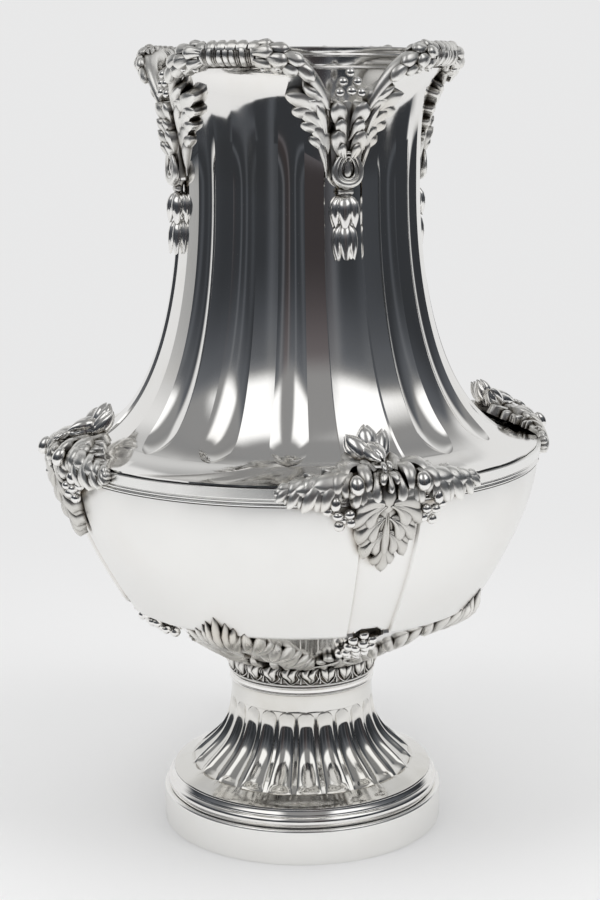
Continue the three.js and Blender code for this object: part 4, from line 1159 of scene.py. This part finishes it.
class RollSkin:
    """Local coordinates on a border: along from the lobe's centre, round the roll and off it."""

    def __init__(self):
        self.turns = np.linspace(-BORDER_HALF_TURN, BORDER_HALF_TURN, 241)
        run = run_along(border_line(self.turns, 0))
        self.run = run - run[len(run) // 2]
        self.half = self.run[-1]

    def __call__(self, local, axis):
        turn = np.interp(local[:, 0], self.run, self.turns)
        along = unit(border_line(turn + LINE_STEP, axis) - border_line(turn - LINE_STEP, axis))
        out = on_axis(1.0, axis + turn, 0.0)
        out = unit(out - (out * along).sum(-1, keepdims=True) * along)
        up = np.cross(along, out)
        thick = border_thickness(turn)
        scale = thick / BORDER_RADIUS
        angle = (local[:, 1] / BORDER_RADIUS)[:, None]
        reach_out = (thick * BORDER_SINK + local[:, 2] * scale)[:, None]
        return border_line(turn, axis) + reach_out * (np.cos(angle) * out + np.sin(angle) * up)


BORDER_MIDDLE = 15
BORDER_LINES = (1.4, 4.6, 5.6, 6.6, 9.6, 10.5, 11.4, 13.6)


def roll_core(made, half):
    """The plain roll under the leaves, with incised slanting lines round its middle."""
    middle = np.linspace(-BORDER_MIDDLE, BORDER_MIDDLE, 161)
    beyond = np.linspace(BORDER_MIDDLE, half, 50)[1:]
    along = np.concatenate([-beyond[::-1], middle, beyond])
    around = np.linspace(-math.pi, math.pi, 40, endpoint=False) * BORDER_RADIUS
    x, y = np.meshgrid(along, around, indexing="ij")
    slanted = np.abs(x) + 0.012 * (y - 4) ** 2 * np.sign(np.abs(x) - 2)
    raised = 0.5 * bump(8.0, 5.0, np.abs(x))
    for line in BORDER_LINES:
        raised = raised - 0.9 * bump(line, 0.34, slanted)
    points = np.stack([x, y, raised], -1)
    made.add(points, capped_faces(len(along), len(around)))


def build_borders():
    skin = RollSkin()
    made = Casting()
    roll_core(made, skin.half)
    lips = (
        ((2.4, -2), (2.6, -10.5), 2.8, 1, (0.2, 1.8, 1.6), 0),
        ((7.4, -2), (7.8, -10.5), 2.8, 1, (0.2, 1.8, 1.6), 0),
        ((12.2, -2.5), (14.0, -10.5), 2.6, 1, (0.2, 1.8, 1.6), 0),
        ((14.5, -7), (21, -12.5), 3.4, 2, (0.4, 2.4, 2.0), -0.6),
        ((20, -7), (27.5, -10.5), 3.4, 2, (0.4, 2.6, 2.0), -0.6),
    )
    made.both_sides(made.fan, lips, cup=0.6, curl=1.2, waist=0.7)
    scales = (
        ((12.0, 9.5), (21.0, 12.0), 3.4, (0.2, 3.0, 3.2), 0.4),
        ((12.0, 4.2), (21.5, 5.6), 3.2, (0.2, 3.4, 3.6), 0.3),
        ((12.0, -1.2), (21.0, -1.8), 3.2, (0.2, 3.4, 3.6), -0.3),
        ((12.0, -6.4), (20.0, -8.0), 3.0, (0.2, 3.0, 3.2), -0.4),
        ((17.0, 7.0), (27.6, 8.6), 3.6, (0.2, 4.2, 4.4), 0.6),
        ((17.0, 1.4), (27.6, 1.4), 3.6, (0.2, 4.4, 4.8), 0.4),
        ((17.0, -4.2), (26.6, -5.6), 3.2, (0.2, 3.8, 4.2), -0.4),
        ((23.0, 10.0), (33.0, 11.6), 3.0, (0.2, 3.6, 3.8), 0.6),
        ((23.0, 4.4), (34.4, 4.8), 3.8, (0.2, 4.4, 4.8), 0.6),
        ((23.0, -1.4), (34.0, -2.4), 3.6, (0.2, 4.2, 4.6), -0.4),
        ((29.5, 1.6), (42.0, 0.6), 4.4, (0.2, 4.6, 4.6), -0.4),
    )
    made.both_sides(made.petal, scales, crown=1.5, curl=1.6, vein=0.5, waist=0.6)
    for side in (1, -1):
        for along, around in ((17.4, 7.2), (24.4, 5.2)):
            made.ball((side * along, around, 2.0), 1.6, 14)
    cast_round(LOBES, (made, "border_leaves", skin, CHASED, "mouth_border"))


# Liner: a plain cup with a moulded rim, standing on a ring in the mouth.
def build_liner():
    low, high, rim = extent("liner")
    _, seat, _ = extent("liner_seat")
    wall = rim - 2.6
    outline = [[1, low], [wall - 5, low]] + arc((wall - 5, low + 5), 5, -80, 0, 8)
    outline += [[wall, seat + 0.3], [wall + 2.2, seat + 0.3], [wall + 2.2, seat + 1.2]]
    outline += [[wall + 0.3, seat + 2.9], [wall, seat + 3.4], [wall, high - 11.2], [wall, high - 10.3]]
    outline += arc((wall + 0.5, high - 9.6), 0.75, -60, 60, 6)
    outline += [[wall + 0.45, high - 8.6], [wall + 0.8, high - 7.9], [wall + 1.0, high - 4.6]]
    outline += arc((wall + 1.6, high - 3.9), 0.6, -100, 20, 6)
    outline += [[wall + 1.9, high - 3.1], [rim - 0.3, high - 2.6]]
    outline += arc((rim - 0.5, high - 0.5), 0.5, 0, 90, 5)
    outline += [[wall - 0.8, high], [wall - 0.8, low + 5]]
    outline += arc((wall - 5, low + 5), 4.2, 0, -80, 8)
    outline += [[1, low + 0.8]]
    place(turned_body("liner_cup", outline, BURNISHED), "liner", "polished_silver", "liner")


def finish_liner_seat():
    """The ring under the liner stays as its CAD node, and only gets a finish."""
    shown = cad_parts["liner_seat"]
    shown.data.materials.clear()
    shown.data.materials.append(POLISHED)


# Camera at the photograph's place.
VIEW_TURN = 20.3
VIEW_DISTANCE = 0.8986
VIEW_HEIGHT = 0.3744
VIEW_TILT = 11.36
VIEW_ROLL = 0.355
PHOTO_HEIGHT = 900
FOCAL_PIXELS = 1797.2
AXIS_PIXELS = 1.91
SENSOR = 36


def build_camera():
    lens = bpy.data.cameras.new("camera")
    lens.sensor_width = SENSOR
    lens.lens = SENSOR * FOCAL_PIXELS / PHOTO_HEIGHT
    lens.shift_x = AXIS_PIXELS / PHOTO_HEIGHT
    lens.dof.use_dof = False
    made = add_object("camera", lens)
    turn = math.radians(VIEW_TURN)
    made.location = (-VIEW_DISTANCE * math.sin(turn), -VIEW_DISTANCE * math.cos(turn), VIEW_HEIGHT)
    made.rotation_mode = "XYZ"
    made.rotation_euler = (math.radians(90 - VIEW_TILT), math.radians(VIEW_ROLL), -turn)
    bpy.context.scene.camera = made


# Studio: a pale table, a dark room behind the camera and soft lamps.
TABLE_HALF = 1.6
TABLE_FRONT = 0.62
TABLE_BACK = 3.2
TABLE_COLOUR = (0.86, 0.86, 0.86)
TABLE_FADE = (0.25, 0.75)
GROUND_COLOUR = (0.81, 0.81, 0.812)
ROOM_RADIUS = 1.6
ROOM_CENTRE = 0.25
ROOM_LOW = -30
SOFTBOX_GLOW = 1.15
SIDE_GLOW = 0.78
TOP_GLOW = 0.27
RISING_GLOW = 0.09
DARK_GLOW = 0.038
DARK_BANDS = ((-88, 9, 0.02), (-52, 6, 0.04), (-24, 3.5, 0.055), (6, 3, 0.06), (31, 4, 0.07), (62, 7, 0.04))
BACK_GLOW = 0.17
BACK_PANELS = ((-148, 24, 0.45), (148, 24, 0.5))
WARM_BAND = (14, 12)
LAMP_DISTANCE = 1.3
LAMP_SIZE = (0.5, 0.7)
LAMP_POWER = 3.6
LAMP_AIM = 0.2


def stage_mesh(name, points, faces, material):
    mesh = bpy.data.meshes.new(name)
    mesh.from_pydata(points, [], faces)
    mesh.materials.append(material)
    made = add_object(name, mesh)
    return made


def table_top():
    """Pale table that fades into the white ground away from the vase."""
    made, nodes, links = node_material("table_top")
    shader = nodes["Principled BSDF"]
    shader.inputs["Base Color"].default_value = (*TABLE_COLOUR, 1)
    shader.inputs["Roughness"].default_value = 0.9
    shader.inputs["Specular IOR Level"].default_value = 0.1
    ground = add_node(nodes, "ShaderNodeEmission", {"Color": (*GROUND_COLOUR, 1)})
    where = nodes.new("ShaderNodeNewGeometry")
    away = nodes.new("ShaderNodeVectorMath")
    away.operation = "LENGTH"
    links.new(where.outputs["Position"], away.inputs[0])
    fade = spread(nodes, links, away.outputs["Value"], *TABLE_FADE, 0, 1)
    mix = nodes.new("ShaderNodeMixShader")
    links.new(fade, mix.inputs["Fac"])
    links.new(shader.outputs["BSDF"], mix.inputs[1])
    links.new(ground.outputs["Emission"], mix.inputs[2])
    links.new(mix.outputs["Shader"], nodes["Material Output"].inputs["Surface"])
    return made


def build_table():
    turn = math.radians(-VIEW_TURN)
    cos, sin = math.cos(turn), math.sin(turn)
    corners = [(-TABLE_HALF, -TABLE_FRONT), (TABLE_HALF, -TABLE_FRONT)]
    corners += [(TABLE_HALF, TABLE_BACK), (-TABLE_HALF, TABLE_BACK)]
    corners = [(x * cos - y * sin, x * sin + y * cos, 0) for x, y in corners]
    stage_mesh("table", corners, [(0, 1, 2, 3)], table_top())


def glow_sum(base, glows, turn):
    """A plain glow with brighter upright bands, each given as its middle, width and strength."""
    for middle, width, strength in glows:
        base = base + strength * bump(middle, width, turn)
    return base


def surroundings(turn, rise):
    """Glow of the studio in a direction: turn to the right of the camera's side, and rise above level."""
    front = smooth(-122, -106, turn) * (1 - smooth(120, 134, turn))
    dark = glow_sum(DARK_GLOW, DARK_BANDS, turn) + RISING_GLOW * smooth(6, 27, rise)
    low = blend(SIDE_GLOW, dark, front)
    back = glow_sum(BACK_GLOW, BACK_PANELS, turn)
    behind = smooth(95, 150, np.abs(turn)) * (1 - smooth(60, 85, rise))
    value = blend(low, blend(TOP_GLOW, back, behind), smooth(23, 31, rise))
    window = smooth(27, 33, rise) * (1 - smooth(58, 70, rise))
    left = smooth(-80, -66, turn) * (1 - smooth(-26, -14, turn))
    right = smooth(22, 34, turn) * (1 - smooth(72, 90, turn))
    value = blend(value, SOFTBOX_GLOW, window * np.maximum(left, right))
    dim = 1 - smooth(0.05, 0.3, value)
    warm = dim * bump(*WARM_BAND, turn)
    cool = dim - warm
    tint = [1 - 0.1 * cool + 0.1 * warm, 1 - 0.03 * cool - 0.04 * warm, 1 + 0.1 * cool]
    return value[..., None] * np.stack(tint, -1)


def reflected_glow():
    made, nodes, links = node_material("reflected_glow")
    nodes.remove(nodes["Principled BSDF"])
    light = nodes.new("ShaderNodeEmission")
    painted = nodes.new("ShaderNodeAttribute")
    painted.attribute_name = "glow"
    links.new(painted.outputs["Color"], light.inputs["Color"])
    links.new(light.outputs["Emission"], nodes["Material Output"].inputs["Surface"])
    return made


def build_room():
    """A dome that only reflections see."""
    turn, rise = np.meshgrid(np.linspace(-180, 180, 181), np.linspace(ROOM_LOW, 90, 91), indexing="ij")
    colour = surroundings(turn, rise)
    flat = ROOM_RADIUS * np.cos(np.radians(rise))
    points = on_axis(flat, turn - VIEW_TURN, ROOM_RADIUS * np.sin(np.radians(rise)) + ROOM_CENTRE)
    faces = grid_faces(*turn.shape, False, False)
    dome = stage_mesh("room", points.reshape(-1, 3).tolist(), faces.tolist(), reflected_glow())
    painted = dome.data.color_attributes.new("glow", "FLOAT_COLOR", "POINT")
    colour = np.concatenate([colour, np.ones_like(colour[..., :1])], -1)
    painted.data.foreach_set("color", colour.astype(np.float32).ravel())
    dome.visible_camera = False
    dome.visible_diffuse = False
    dome.visible_shadow = False
    dome.visible_transmission = False


def build_lamps():
    """Two soft boxes, each given by its turn from the camera's side and its rise."""
    for name, turn, rise in (("softbox_left", -48, 58), ("softbox_right", 52, 56)):
        data = bpy.data.lights.new(name, "AREA")
        data.shape = "RECTANGLE"
        data.size, data.size_y = LAMP_SIZE
        data.energy = LAMP_POWER
        made = add_object(name, data)
        rise = math.radians(rise)
        out, up = LAMP_DISTANCE * math.cos(rise), LAMP_DISTANCE * math.sin(rise)
        made.location = on_axis(out, turn - VIEW_TURN, up)
        made.rotation_euler = (-made.location).to_track_quat("-Z", "Y").to_euler()
        made.location.z += LAMP_AIM
        made.visible_camera = False
        made.visible_glossy = False


def build_world():
    world = bpy.data.worlds.new("studio")
    world.use_nodes = True
    bpy.context.scene.world = world
    back = world.node_tree.nodes["Background"]
    back.inputs["Color"].default_value = (*GROUND_COLOUR, 1)
    back.inputs["Strength"].default_value = 1
    bpy.context.scene.view_settings.view_transform = "Standard"


build_camera()
build_world()
build_table()
build_room()
build_lamps()
build_plinth()
build_moulding()
build_stem()
build_collar()
build_bowl()
build_girdle()
build_neck()
build_liner()
build_shoulder_mounts()
build_pendants()
build_base_leaves()
build_base_sprigs()
build_leaf_tips()
build_borders()
finish_liner_seat()
